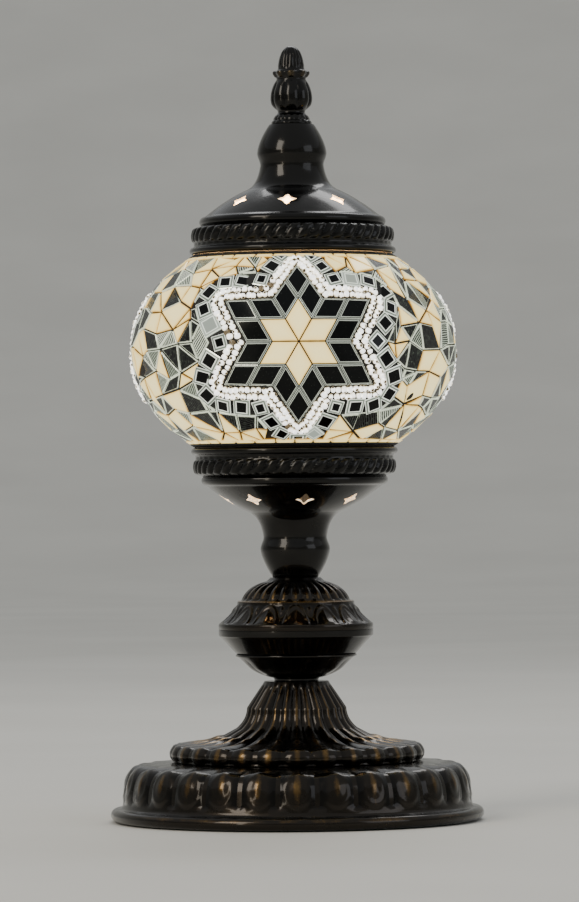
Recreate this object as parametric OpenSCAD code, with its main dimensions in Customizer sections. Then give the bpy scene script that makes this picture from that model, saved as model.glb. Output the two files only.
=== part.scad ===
// Mosaic glass table lamp: a turned and fluted metal stand clamped on one threaded pipe, a glass globe
// covered with mosaic that lifts out of its cup, a loose cap with a finial, and a lamp in a small holder.
// The origin is the centre of the underside, +Z is up and -Y is the front. Sizes are in millimetres.

/* [Base] */
// Diameter over the rolled edge at the bottom
base_d = 182.4; // [178:0.2:196]
// Diameter of the gadrooned dome above the rolled edge
dome_d = 171; // [150:1:174]
// Height of the flat that the bell stands on
base_h = 29; // [24:0.5:40]
// Radius of the rolled edge
roll_r = 3; // [2:0.1:4]
// How far the felt stands out below the rolled edge
foot_lift = 0.6; // [0.3:0.1:1.5]
// Thickness of the felt
felt_t = 1.6; // [1:0.1:4]
// Thickness of the sheet cover over the underside
cover_t = 1.2; // [0.8:0.1:2]
// Depth of the dish pressed into the middle of the cover
dish_h = 3.4; // [3.2:0.1:6]

/* [Bell] */
// Diameter over the scalloped tier
bell_d = 125.4; // [100:0.2:130]
// Height of the bell from its seat to its neck
bell_h = 39.2; // [34:0.2:52]
// Height of the scalloped tier
tier_h = 8.6; // [7:0.1:11]
// Diameter of the bell's neck
bell_neck_d = 33; // [28:0.5:40]
// Lobes round the base and the bell
flute_count = 28; // [20:1:36]
// Depth of the lobes
flute_depth = 1.4; // [0.8:0.1:2]

/* [Knob] */
// Diameter over the knob's band
knob_d = 75.6; // [60:0.2:90]
// Height of the bowl under the knob's joint
bowl_h = 25.2; // [21:0.2:32]
// Height of the cover above the knob's joint
cover_h = 25.4; // [21:0.2:32]
// Diameter of the foot under the bowl
bowl_foot_d = 21.8; // [18:0.2:26]
// Diameter of the ledge under the cover's dome
ledge_d = 57; // [44:0.5:62]

/* [Cup and cap] */
// Diameter over the rim of the cup and the cap
rim_d = 101; // [88:0.5:112]
// Height of the cup and the cap
shell_h = 63.5; // [58:0.5:76]
// Diameter at the waist of their necks
waist_d = 31; // [29:0.5:38]
// Slanted ridges in the band round each shell
ridge_count = 50; // [36:1:60]
// Pierced stars round each shell
star_count = 8; // [6:1:10]
// Width of a pierced star
star_w = 8; // [5:0.5:9]
// Turn of the cap's stars from the front, in degrees
cap_turn = -4.2; // [-22:0.1:22]
// Turn of the cup's stars from the front, in degrees
cup_turn = 8.3; // [-22:0.1:22]
// Height of the finial above the cap
finial_h = 38.6; // [30:0.2:48]
// Diameter of the finial's bulb
finial_d = 20.2; // [16:0.2:26]

/* [Globe] */
// Diameter of the globe over its mosaic
globe_d = 160; // [140:1:170]
// Height that the whole ellipse of the globe would have
globe_h = 118.4; // [104:0.4:134]
// Diameter of the openings at the globe's top and bottom
mouth_d = 82; // [66:1:84]
// Thickness of the glass
glass_t = 3; // [2:0.1:5]
// Thickness of the bed that the mosaic is set in
bed_t = 0.8; // [0.5:0.1:1.5]
// Depth from the mosaic's face to the bed
tile_zone = 2.5; // [2.2:0.1:3.5]

/* [Mosaic] */
// Star motifs round the globe
motif_count = 3; // [2:1:3]
// Turn of the first motif from the front, in degrees
motif_turn = 1.8; // [-60:0.1:60]
// Height of the motif's centre above the globe's middle
motif_rise = 2.5; // [-4:0.1:5]
// Edge of one small rhombus in the star
cell = 12.8; // [10:0.1:13.4]
// Gap between mosaic pieces
tile_gap = 0.7; // [0.3:0.1:1.5]
// Diameter of a bead
bead_d = 2.7; // [2.2:0.1:2.8]
// Gap between neighbouring beads in a row
bead_gap = 0.6; // [0.5:0.1:1.2]
// Distance from the star's edge to the inner row of beads
bead_row = 2.3; // [2:0.1:4]
// Distance between the two rows of beads
bead_step = 3.7; // [3.5:0.1:5]
// Side of a square mirror
square_w = 8.6; // [6:0.2:10]
// Spacing of the square mirrors
square_pitch = 10.6; // [10.4:0.2:14]
// Side of the cut pieces that fill the rest
filler_w = 11; // [9:0.5:16]

/* [Clamping stack] */
// Outside diameter of the threaded pipe
pipe_d = 10; // [9:0.5:12]
// Bore of the threaded pipe
pipe_bore = 7.6; // [5:0.2:8]
// Size across the flats of the pipe nuts
nut_flats = 14; // [13:0.5:15]
// Thickness of the pipe nuts
nut_t = 2.6; // [2:0.1:4]
// Diameter of the washers
washer_d = 18; // [17:0.5:19]
// Thickness of the washers
washer_t = 1; // [0.5:0.1:1.5]
// Wall of the spun metal shells
wall = 1.4; // [1:0.1:2]

/* [Lamp] */
// Diameter of the lampholder
holder_d = 25; // [23:0.5:28]
// Height of the lampholder
holder_h = 44; // [40:1:50]
// Height of the lampholder's lower part
holder_base_h = 14; // [12:1:18]
// Depth of the lampholder's foot below the rim of the cup
holder_drop = 30; // [24:1:34]
// Diameter of the bulb's screw cap
bulb_cap_d = 13.9; // [13.9:0.1:14]
// Diameter of the bulb's glass
bulb_d = 45; // [35:1:50]
// Length of the bulb with its cap
bulb_len = 78; // [70:1:90]

/* [Cord inlet] */
// Bore of the cord gland
gland_bore = 6.2; // [5:0.2:8]
// Diameter of the gland's threaded body
gland_d = 10; // [9:0.5:12]
// Diameter of the gland's flange
gland_flange_d = 14; // [13:0.5:16]
// Height of the gland's axis
gland_z = 15; // [14:0.5:18]

/* [Clearances] */
// Gap between pieces that lift apart
lift_gap = 0.3; // [0.2:0.05:0.6]
// Clearance of a hole over the part that passes through it, on the radius
pass_gap = 0.2; // [0.1:0.05:0.5]
// Clearance of the bulb's cap in its thread, on the radius
screw_gap = 0.08; // [0.03:0.01:0.1]

/* [Hidden] */
$fn = 96;
tiny = 0.01;

base_r = base_d / 2;
dome_r = dome_d / 2;
bell_r = bell_d / 2;
knob_r = knob_d / 2;
rim_r = rim_d / 2;
waist_r = waist_d / 2;
pass_r = pipe_d / 2 + pass_gap;
globe_r = globe_d / 2;
globe_b = globe_h / 2;
mouth_r = mouth_d / 2;

// Heights of the clamped stack, from the floor up
bell_z = base_h;
bowl_z = bell_z + bell_h;
joint_z = bowl_z + bowl_h;
cup_z = joint_z + cover_h;
rim_z = cup_z + shell_h;

// The globe's middle: the lip's inner edge meets the ellipse of the mosaic's face
lip_r = rim_r - 1.7;
seat_h = globe_b * sqrt(1 - pow(lip_r / globe_r, 2)) + lift_gap;
middle_z = rim_z + seat_h;
cap_z = middle_z + seat_h;
top_z = cap_z + shell_h;

// The lampholder and the bulb, from the pipe's top up
holder_z = rim_z - holder_drop;
socket_z = holder_z + holder_base_h;
thread_r = bulb_cap_d / 2 + screw_gap;
bulb_z = socket_z + 5.2;
bulb_cap_h = 20;
bulb_neck_z = bulb_z + 3.2 + bulb_cap_h;
bulb_mid_z = bulb_z + bulb_len - bulb_d / 2;
pipe_top_z = holder_z + 8;

// The underside, and the flat behind that the cord gland clamps
cover_z = felt_t;
recess_r = base_r - 2 * roll_r + 0.8;
gland_face_y = dome_r - flute_depth - 0.1;

// ---------------------------------------------------------------- outlines

function reversed(p) = [for (i = [len(p) - 1 : -1 : 0]) p[i]];

// Points on an arc about c, from angle a0 to a1
function arc(c, r, a0, a1, n) = [for (i = [0 : n]) let (a = a0 + (a1 - a0) * i / n) c + r * [cos(a), sin(a)]];

// Points on a curve from p0 to p2 that is pulled towards p1
function curve(p0, p1, p2, n) = [
    for (i = [0 : n]) let (t = i / n) pow(1 - t, 2) * p0 + 2 * t * (1 - t) * p1 + t * t * p2
];

// The neck of the cup and the cap: waist, bulge and taper, for a wall set in by s, ending at height h
function neck(s, h) = concat(
    [for (i = [1 : 4]) [waist_r - s + 0.75 * (1 - cos(45 * i)), shell_h - 19.9 + 1.5 * i]],
    [for (i = [1 : 6]) [waist_r - s + 1.5 - 6 * pow(i / 6, 1.6), shell_h - 13.9 + (h - shell_h + 13.9) * i / 6]]
);

// Outside of the cup and the cap: radius against distance from the rim
function shell_outside() = concat(
    [[lip_r, 0]],
    arc([rim_r - 1.7, 1.7], 1.7, -90, 90, 10),
    curve([rim_r - 1.8, 3.6], [rim_r - 2.6, 4.8], [rim_r - 1.8, 6], 4),
    curve([rim_r - 1.8, 6.2], [rim_r - 0.4, 9.4], [rim_r - 2.2, 12.8], 8),
    arc([rim_r - 7.4, 15.9], 2.5, -50, 78, 8),
    curve([rim_r - 7.9, 18.6], [rim_r - 19.2, shell_h - 35.6], [waist_r + 6.5, shell_h - 31.8], 12),
    curve([waist_r + 5.9, shell_h - 31.4], [waist_r + 1.5, shell_h - 29], [waist_r, shell_h - 19.9], 8),
    neck(0, shell_h),
    [[pass_r, shell_h]]
);

// Inside of the cup and the cap, kept simple because it doesn't show
function shell_inside() = concat(
    [[lip_r, 0], [rim_r - wall - 1.8, 1.6], [rim_r - wall - 1.8, 12], [rim_r - wall - 5.2, 14.2]],
    curve(
        [rim_r - wall - 7.6, 17.6],
        [rim_r - 19.2 - wall, shell_h - 37],
        [waist_r + 7 - wall, shell_h - 33],
        8
    ),
    curve(
        [waist_r + 6 - wall, shell_h - 32.4],
        [waist_r + 1.5 - wall, shell_h - 30],
        [waist_r - wall, shell_h - 19.9],
        6
    ),
    neck(wall, shell_h - wall),
    [[pass_r, shell_h - wall]]
);

// A turned shell between an outside and an inside outline that run the same way
module turned(outside, inside) {
    rotate_extrude() polygon(concat(outside, reversed(inside)));
}

// Everything inside a ring of lobes whose crests reach radius r
module lobed_bar(r, z0, z1) {
    half = r * sin(180 / flute_count);
    lobe_r = (half * half + flute_depth * flute_depth) / (2 * flute_depth);
    translate([0, 0, z0])
        linear_extrude(z1 - z0)
            union() {
                circle(r - lobe_r * 0.9);
                for (i = [0 : flute_count - 1])
                    rotate(360 * i / flute_count) translate([r - lobe_r, 0]) circle(lobe_r);
            }
}

// ---------------------------------------------------------------- base

module felt_pad() {
    color("#1b2a20")
        difference() {
            cylinder(r = recess_r - 2 * pass_gap, h = felt_t);
            translate([0, 0, -1]) cylinder(r = washer_d / 2 + 6, h = felt_t + 2);
        }
}

module base_cover() {
    dish_r = washer_d / 2 + 5;
    color("#55555a")
        rotate_extrude()
            polygon([
                [pass_r, cover_z + dish_h], [dish_r, cover_z + dish_h], [dish_r + dish_h, cover_z],
                [recess_r - pass_gap, cover_z], [recess_r - pass_gap, cover_z + cover_t],
                [dish_r + dish_h + cover_t / 2, cover_z + cover_t],
                [dish_r + cover_t / 2, cover_z + dish_h + cover_t], [pass_r, cover_z + dish_h + cover_t]
            ]);
}

module base_foot() {
    roll_top = foot_lift + 2 * roll_r;
    outside = concat(
        [[recess_r, foot_lift]],
        arc([base_r - roll_r, foot_lift + roll_r], roll_r, -90, 90, 14),
        curve([base_r - roll_r - 0.4, roll_top + 0.1], [dome_r, roll_top + 0.2], [dome_r, roll_top + 2.6], 5),
        [[dome_r, roll_top + 3]],
        curve([dome_r - 0.6, base_h - 9.5], [dome_r - 1.6, base_h - 2.2], [dome_r - 9, base_h - 1.3], 9),
        [[bell_r + 2, base_h], [pass_r, base_h]]
    );
    inner_r = dome_r - wall - flute_depth;
    ledge_z = cover_z + cover_t;
    inside = concat(
        [[recess_r, foot_lift], [recess_r, ledge_z], [inner_r, ledge_z + 0.8], [inner_r, base_h - 9.6]],
        curve([inner_r - 0.4, base_h - 9], [inner_r - 1.6, base_h - 4.4], [inner_r - 9, base_h - 3.4], 5),
        [[bell_r, base_h - wall - 0.6], [pass_r, base_h - wall - 0.6]]
    );
    color("#4a4038")
        difference() {
            intersection() {
                turned(outside, inside);
                union() {
                    lobed_bar(dome_r + 0.2, roll_top + 0.4, base_h + 1);
                    cylinder(r = base_r + 1, h = roll_top + 1);
                }
            }
            translate([0, dome_r - 12, gland_z]) rotate([-90, 0, 0]) cylinder(r = gland_d / 2 + pass_gap, h = 20);
            // flat spot that the gland's flange and nut clamp
            translate([0, dome_r - flute_depth - 0.1, gland_z])
                rotate([-90, 0, 0])
                    cylinder(r = gland_flange_d / 2 + pass_gap, h = 4);
        }
}

module cord_gland() {
    color("#15161a")
        translate([0, 0, gland_z])
            rotate([-90, 0, 0])
                difference() {
                    union() {
                        translate([0, 0, gland_face_y]) cylinder(r = gland_flange_d / 2, h = 2.2);
                        translate([0, 0, gland_face_y - 9]) cylinder(r = gland_d / 2, h = 9 + tiny);
                    }
                    cylinder(r = gland_bore / 2, h = base_r);
                }
}

module gland_nut() {
    color("#15161a")
        translate([0, gland_face_y - 4.6 - wall, gland_z])
            rotate([-90, 0, 0])
                difference() {
                    cylinder(r = (gland_d + 4) / 2 / cos(30), h = 3, $fn = 6);
                    translate([0, 0, -1]) cylinder(r = gland_d / 2 + screw_gap, h = 5);
                }
}

// ---------------------------------------------------------------- bell and knob

module fluted_bell() {
    neck_r = bell_neck_d / 2;
    tier_z = bell_z + tier_h;
    cone = [bell_r * 0.47, tier_z + 7.8];
    outside = concat(
        [[bell_r - 2.4, bell_z]],
        curve([bell_r - 2.2, bell_z + 0.2], [bell_r + 1.6, bell_z + tier_h * 0.4], [bell_r - 1.8, tier_z], 8),
        curve([bell_r - 2.4, tier_z + 0.2], [bell_r * 0.7, tier_z + 1], [bell_r * 0.57, tier_z + 4.6], 5),
        curve(cone, [cone[0] - 5, tier_z + 12], [neck_r + 7.8, bowl_z - 13], 5),
        curve([neck_r + 7.4, bowl_z - 12.4], [neck_r + 4, bowl_z - 6.6], [neck_r, bowl_z - 1.4], 5),
        [[neck_r - 0.8, bowl_z], [pass_r, bowl_z]]
    );
    inside = concat(
        [[bell_r - 5, bell_z], [bell_r - 5, bell_z + 3], [bell_r - 8, tier_z - 2.2]],
        curve(
            [bell_r * 0.7, tier_z - 1.2],
            [bell_r * 0.56, tier_z + 1],
            [cone[0] - wall - 1.4, cone[1] - 0.6],
            5
        ),
        curve(
            [cone[0] - wall - 2, cone[1] + 0.6],
            [cone[0] - 8, tier_z + 11.4],
            [neck_r + 5.4 - wall / 2, bowl_z - 13],
            5
        ),
        [[neck_r - wall - 0.8, bowl_z - 1 - 1.2 * wall], [pass_r, bowl_z - 1 - 1.2 * wall]]
    );
    rib_low = [neck_r + 12.6, bowl_z - 20];
    rib_high = [neck_r + 1.6, bowl_z - 4];
    slope = atan2(rib_low[0] - rib_high[0], rib_high[1] - rib_low[1]);
    color("#4a4038") {
        intersection() {
            turned(outside, inside);
            union() {
                lobed_bar(bell_r, bell_z - 1, tier_z + 0.1);
                cylinder(r = bell_r - flute_depth - 0.6, h = bowl_z + 1);
            }
        }
        for (i = [0 : flute_count - 1])
            rotate(360 * i / flute_count)
                translate([rib_low[0] - 0.4, 0, rib_low[1]])
                    rotate([0, -slope, 0])
                        cylinder(r = 1.1, h = norm(rib_high - rib_low));
    }
}

module knob_bowl() {
    foot_r = bowl_foot_d / 2;
    outside = concat(
        [[pass_r, bowl_z], [foot_r, bowl_z], [foot_r, bowl_z + 1.2]],
        curve([foot_r + 0.4, bowl_z + 1.6], [knob_r * 0.5, bowl_z + 3], [knob_r * 0.61, bowl_z + 6.6], 7),
        curve([knob_r * 0.62, bowl_z + 7], [knob_r * 0.7, bowl_z + 10], [knob_r * 0.76, bowl_z + 12], 4),
        arc([knob_r * 0.76 + 0.2, bowl_z + 12.6], 0.7, -60, 110, 5),
        curve([knob_r * 0.78, bowl_z + 13.6], [knob_r * 0.88, joint_z - 7.4], [knob_r - 0.8, joint_z - 3.4], 6),
        [[knob_r, joint_z - 2.6], [knob_r, joint_z]]
    );
    inside = concat(
        [[pass_r, bowl_z + wall + 0.2], [foot_r, bowl_z + wall + 1.4]],
        curve(
            [foot_r + 2, bowl_z + wall + 2],
            [knob_r * 0.5, bowl_z + wall + 4],
            [knob_r * 0.6 - 1, bowl_z + wall + 8],
            5
        ),
        [[knob_r * 0.73 - 0.4, bowl_z + wall + 12.6], [knob_r - wall - 1, joint_z - 3.2], [knob_r - wall, joint_z]]
    );
    color("#4a4038") turned(outside, inside);
}

module knob_cover() {
    ledge_r = ledge_d / 2;
    ledge_z = joint_z + cover_h * 0.55;
    outside = concat(
        [[knob_r, joint_z], [knob_r, joint_z + 3]],
        curve([knob_r - 0.4, joint_z + 3.4], [ledge_r + 3, joint_z + 7], [ledge_r, ledge_z], 7),
        [[ledge_r - 1.6, ledge_z]],
        curve([ledge_r - 2, ledge_z + 0.4], [ledge_r - 4.6, cup_z - 4], [ledge_r / 2, cup_z - 1.8], 8),
        [[ledge_r / 2 - 2, cup_z], [pass_r, cup_z]]
    );
    inside = concat(
        [[knob_r - wall, joint_z], [knob_r - wall, joint_z + 2.4], [ledge_r + 3.4 - wall, joint_z + 5.6]],
        [[ledge_r - 2 - wall, ledge_z - 1]],
        curve([ledge_r - 2.6 - wall, ledge_z], [ledge_r - 6 - wall, cup_z - 5.4], [ledge_r / 2, cup_z - 3.4], 5),
        [[ledge_r / 2 - 2, cup_z - 2], [pass_r, cup_z - 2]]
    );
    color("#4a4038") turned(outside, inside);
}

// ---------------------------------------------------------------- cup and cap

// The spun shell with its rim at the origin and its neck upwards, with the stars turned by turn and
// the slanted ridges leaning by lean
module spun_shell(turn, lean) {
    ridge_z = 9.4;
    ridge_len = 6;
    star_r = rim_r - 15.8;
    star_z = 25.7 * shell_h / 63.5;
    union() {
        difference() {
            turned(shell_outside(), shell_inside());
            for (i = [0 : star_count - 1])
                rotate(turn - 90 + 360 * i / star_count)
                    translate([star_r, 0, star_z])
                        rotate([0, 33, 0])
                            translate([0, 0, -8])
                                linear_extrude(16)
                                    polygon([
                                        for (k = [0 : 7])
                                            let (r = k % 2 == 0 ? star_w / 2 : star_w / 4.4)
                                                r * [cos(45 * k), sin(45 * k)]
                                    ]);
        }
        for (i = [0 : ridge_count - 1])
            rotate(360 * i / ridge_count)
                translate([rim_r - 1.7, 0, ridge_z])
                    rotate([lean, 0, 0])
                        cylinder(r = 0.9, h = ridge_len, center = true);
    }
}

module lower_cup() {
    color("#3c3630") translate([0, 0, rim_z]) mirror([0, 0, 1]) spun_shell(cup_turn, -30);
}

module cap_shell() {
    color("#3c3630") translate([0, 0, cap_z]) spun_shell(cap_turn, 30);
}

module globe_seat() {
    seat_top = middle_z - globe_b * sqrt(1 - pow((mouth_r + 1) / globe_r, 2)) - lift_gap;
    color("#202022")
        translate([0, 0, seat_top - 3.4])
            difference() {
                cylinder(r = rim_r - wall - 1.8, h = 3.4);
                translate([0, 0, -1]) cylinder(r = mouth_r - 0.5, h = 6);
            }
}

module finial() {
    bulb_r = finial_d / 2;
    s = finial_h / 38.6;
    outside = concat(
        [[0, top_z], [bulb_r - 0.4, top_z], [bulb_r - 0.2, top_z + 1.2 * s]],
        curve([bulb_r - 1, top_z + 2.4 * s], [bulb_r - 3, top_z + 4.6 * s], [bulb_r - 3.5, top_z + 6.4 * s], 5),
        [for (i = [0 : 12]) let (a = -58 + 112 * i / 12) [bulb_r * cos(a) + 0.2, top_z + (14.2 + 8 * sin(a)) * s]],
        [[bulb_r - 3.4, top_z + 22 * s], [bulb_r - 1.5, top_z + 24 * s], [bulb_r - 1.4, top_z + 26.4 * s]],
        curve([bulb_r - 3.4, top_z + 28 * s], [bulb_r - 2.6, top_z + 37 * s], [0.6, top_z + 38.4 * s], 9),
        [[0, top_z + 38.6 * s]]
    );
    color("#4a4038") {
        rotate_extrude() polygon(outside);
        translate([0, 0, top_z - wall - washer_t - nut_t - 1])
            cylinder(r = pipe_d / 2, h = wall + washer_t + nut_t + 1 + tiny);
    }
}

// ---------------------------------------------------------------- clamping stack

module washer(z) {
    translate([0, 0, z])
        difference() {
            cylinder(r = washer_d / 2, h = washer_t);
            translate([0, 0, -1]) cylinder(r = pass_r, h = washer_t + 2);
        }
}

module pipe_nut(z) {
    translate([0, 0, z])
        difference() {
            cylinder(r = nut_flats / 2 / cos(30), h = nut_t, $fn = 6);
            translate([0, 0, -1]) cylinder(r = pipe_d / 2 + screw_gap, h = nut_t + 2);
        }
}

module bottom_washer() {
    color("#b9b9bd") washer(cover_z + dish_h - washer_t);
}

module bottom_nut() {
    color("#c9a24a") pipe_nut(cover_z + dish_h - washer_t - nut_t);
}

module neck_washer() {
    color("#b9b9bd") washer(cup_z + wall);
}

module neck_nut() {
    color("#c9a24a") pipe_nut(cup_z + wall + washer_t);
}

module finial_washer() {
    color("#b9b9bd") washer(top_z - wall - washer_t);
}

module finial_nut() {
    color("#c9a24a") pipe_nut(top_z - wall - washer_t - nut_t);
}

module threaded_pipe() {
    low_z = cover_z + dish_h - washer_t - nut_t - 0.4;
    color("#c9a24a")
        translate([0, 0, low_z])
            difference() {
                cylinder(r = pipe_d / 2, h = pipe_top_z - low_z);
                translate([0, 0, -1]) cylinder(r = pipe_bore / 2, h = pipe_top_z - low_z + 2);
            }
}

// ---------------------------------------------------------------- lampholder and bulb

module holder_base() {
    color("#141414")
        translate([0, 0, holder_z])
            difference() {
                union() {
                    cylinder(r1 = holder_d / 2 - 2.5, r2 = holder_d / 2, h = 3);
                    translate([0, 0, 3 - tiny]) cylinder(r = holder_d / 2, h = holder_base_h - 3 + tiny);
                }
                translate([0, 0, 3]) cylinder(r = holder_d / 2 - 2, h = holder_base_h);
                translate([0, 0, -1]) cylinder(r = pipe_d / 2 + screw_gap, h = 6);
            }
}

module holder_sleeve() {
    color("#141414")
        translate([0, 0, socket_z])
            difference() {
                cylinder(r = holder_d / 2, h = holder_h - holder_base_h);
                translate([0, 0, 3]) cylinder(r = thread_r + 0.5, h = holder_h);
                translate([0, 0, -1]) cylinder(r = 2 + pass_gap, h = 6);
                for (side = [-1, 1])
                    translate([side * 6.5, 0, -1]) cylinder(r = 1.25 + pass_gap, h = 2.6);
            }
}

module holder_thread() {
    color("#c9a24a")
        translate([0, 0, socket_z + 3])
            difference() {
                cylinder(r = thread_r + 0.5, h = holder_h - holder_base_h - 5);
                translate([0, 0, 0.6]) cylinder(r = thread_r, h = holder_h);
                translate([0, 0, -1]) cylinder(r = 3.4, h = 6);
            }
}

module holder_contact() {
    color("#c9a24a")
        translate([0, 0, socket_z - 2]) {
            cylinder(r = 2, h = bulb_z - lift_gap - socket_z + 2);
            cylinder(r = 3.2, h = 1.9);
        }
}

module terminal_screws() {
    color("#b9b9bd")
        for (side = [-1, 1])
            translate([side * 6.5, 0, socket_z - 2.4]) {
                cylinder(r = 1.25, h = 3.9);
                cylinder(r = 2.1, h = 1.6);
            }
}

module bulb_contact() {
    color("#b9b9bd") translate([0, 0, bulb_z]) cylinder(r1 = 2, r2 = 2.6, h = 1);
}

module bulb_insulator() {
    color("#101014") translate([0, 0, bulb_z + 1]) cylinder(r1 = 2.6, r2 = bulb_cap_d / 2 - 0.7, h = 2.2);
}

module bulb_cap() {
    color("#c8c8cc")
        translate([0, 0, bulb_z + 3.2])
            difference() {
                cylinder(r = bulb_cap_d / 2, h = bulb_cap_h);
                translate([0, 0, 0.6]) cylinder(r = bulb_cap_d / 2 - 0.5, h = bulb_cap_h);
            }
}

// The envelope's outline set in by s: a straight neck, a flare and part of a sphere
function envelope(s) = let (r = bulb_d / 2 - s, neck_r = bulb_cap_d / 2 - 0.6 - s) concat(
    [[neck_r, bulb_neck_z - 6], [neck_r, bulb_neck_z + 1]],
    curve([neck_r + 0.3, bulb_neck_z + 2], [neck_r + 1.4, bulb_mid_z - r * 0.92], [r * 0.73, bulb_mid_z - r * 0.68], 5),
    [for (i = [1 : 11]) let (a = -43 + 133 * i / 12) [r * cos(a), bulb_mid_z + r * sin(a)]],
    [[0, bulb_mid_z + r]]
);

module bulb_glass() {
    color("#fff6dc") turned(envelope(0), envelope(0.8));
}

module bulb_stem() {
    color("#dfe8e8")
        translate([0, 0, bulb_neck_z - 4]) {
            cylinder(r = 3.4, h = 5);
            translate([0, 0, 5 - tiny]) cylinder(r1 = 3.4, r2 = 1.4, h = 4);
            translate([0, 0, 9 - 2 * tiny]) cylinder(r = 1.4, h = bulb_mid_z - bulb_neck_z - 7);
        }
}

module bulb_filament() {
    ring_z = bulb_mid_z;
    color("#ffcf70") {
        translate([0, 0, ring_z]) rotate_extrude(angle = 300, start = -60) translate([9, 0]) circle(0.5);
        for (a = [-60, 90, 240])
            rotate(a) {
                translate([8.8, 0, ring_z]) rotate([0, -90, 0]) cylinder(r = 0.35, h = 7.2);
            }
    }
}

// ---------------------------------------------------------------- globe

function ellipse(a, b, t0, t1, n) = [for (i = [0 : n]) let (t = t0 + (t1 - t0) * i / n) [a * cos(t), b * sin(t)]];

// The back of the mosaic's bed, which is also the glass's outer face between the bed's mouths
back_a = globe_r - tile_zone - bed_t;
back_b = globe_b - tile_zone - bed_t;
bed_mouth_r = mouth_r + 1;
bed_back = let (t = acos(bed_mouth_r / back_a)) ellipse(back_a, back_b, -t, t, 44);

module globe_glass() {
    inner_a = back_a - glass_t;
    inner_b = back_b - glass_t;
    lip_z = back_b * sin(acos(mouth_r / back_a));
    t_in = acos(mouth_r / inner_a);
    color("#e8efe6", 0.5)
        translate([0, 0, middle_z])
            rotate_extrude()
                polygon(concat(
                    [[mouth_r, -lip_z]], bed_back, [[mouth_r, lip_z]],
                    ellipse(inner_a, inner_b, t_in, -t_in, 44)
                ));
}

// The bed is thin under the pieces and comes up to their face in a collar at each opening
module mosaic_bed() {
    t_in = acos((rim_r + 1) / (globe_r - tile_zone));
    t_face = acos((rim_r + 1) / globe_r);
    t_open = acos(bed_mouth_r / globe_r);
    color("#0d0d0d")
        translate([0, 0, middle_z])
            rotate_extrude()
                polygon(concat(
                    ellipse(globe_r, globe_b, -t_open, -t_face, 6),
                    ellipse(globe_r - tile_zone, globe_b - tile_zone, -t_in, t_in, 40),
                    ellipse(globe_r, globe_b, t_face, t_open, 6),
                    reversed(bed_back)
                ));
}

// Length along the globe's meridian from its middle up to parametric angle t, close to the true one
near = globe_b + (globe_r * globe_r - globe_b * globe_b) / (4 * globe_b) * 0.89;
swing = (near - globe_b) / 2;
function meridian(t) = near * t * PI / 180 - swing * sin(2 * t);
function meridian_step(t, s) = t - (meridian(t) - s) / ((near - 2 * swing * cos(2 * t)) * PI / 180);
function angle_at(s) = meridian_step(meridian_step(s / near * 180 / PI, s), s);

// The point of the globe at turn az and meridian length s, at depth d under the mosaic's face
function on_globe(az, s, d) = let (
    t = angle_at(s),
    n = [cos(t) / globe_r, sin(t) / globe_b] / norm([cos(t) / globe_r, sin(t) / globe_b]),
    q = [globe_r * cos(t), globe_b * sin(t)] - d * n
) [q[0] * sin(az), -q[0] * cos(az), middle_z + q[1]];

// The motif is drawn flat and laid on the globe by distance and direction from its centre.
// laid gives [turn, meridian length] of the flat point p of the motif that is turned by az.
function laid(p, az) = let (
    rho = max(norm(p), tiny),
    c = rho / globe_r * 180 / PI
) [
    az + atan2(p[0] / rho * sin(c), cos(c)),
    globe_r * asin(p[1] / rho * sin(c)) * PI / 180 + motif_rise
];

// The flat point of a motif that lies nearest to turn az and meridian length s
function flat_at(az, s) = let (
    lat = (s - motif_rise) / globe_r * 180 / PI,
    c = max(acos(cos(lat) * cos(az)), tiny)
) globe_r * c * PI / 180 / sin(c) * [cos(lat) * sin(az), sin(lat)];

motif_turns = [for (i = [0 : motif_count - 1]) motif_turn + 360 * i / motif_count];

// A flat outline drawn in by g about its middle
function middle(q) = [for (p = q) 1] * q / len(q);
function shrunk(q, g) = let (m = middle(q)) [for (p = q) m + (p - m) * (1 - g / norm(p - m))];

// Flat pieces sink under the curved face between their corners, so they stop short of the bed by that
sag = pow(max(cell / sqrt(3), filler_w / sqrt(2)), 2) / (2 * globe_b * globe_b / globe_r);

// One solid for each outline of [turn, meridian length] corners, all in one polyhedron
module plates(outlines) {
    counts = [for (q = outlines) len(q)];
    starts = [for (i = 0, at = 0; i < len(outlines); at = at + 2 * counts[i], i = i + 1) at];
    points = [
        for (q = outlines)
            for (d = [tile_zone - sag - 0.05, 0])
                for (p = q) on_globe(p[0], p[1], d)
    ];
    faces = [
        for (i = [0 : len(outlines) - 1])
            let (n = counts[i], a = starts[i])
                each concat(
                    [for (k = [1 : n - 2]) [a, a + k, a + k + 1]],
                    [for (k = [1 : n - 2]) [a + n, a + n + k + 1, a + n + k]],
                    [for (k = [0 : n - 1]) [a + k, a + n + k, a + n + (k + 1) % n]],
                    [for (k = [0 : n - 1]) [a + k, a + n + (k + 1) % n, a + (k + 1) % n]]
                )
    ];
    polyhedron(points, faces);
}

// One small rhombus of the star: u and v count cells along the big rhombus's two edges. It starts at a
// blunt corner, so that its faces fold along the short diagonal.
function rhombus(tip, u, v) = let (
    e = cell * [cos(tip - 30), sin(tip - 30)],
    f = cell * [cos(tip + 30), sin(tip + 30)]
) [(u + 1) * e + v * f, (u + 1) * e + (v + 1) * f, u * e + (v + 1) * f, u * e + v * f];

module star_cells(cells) {
    plates([
        for (az = motif_turns)
            for (tip = [30 : 60 : 330])
                for (c = cells) [for (p = shrunk(rhombus(tip, c[0], c[1]), tile_gap)) laid(p, az)]
    ]);
}

module star_creams() {
    color("#f2e3b8") star_cells([[0, 0]]);
}

module star_mirrors() {
    color("#39403f") star_cells([[1, 0], [0, 1], [1, 1]]);
}

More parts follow.
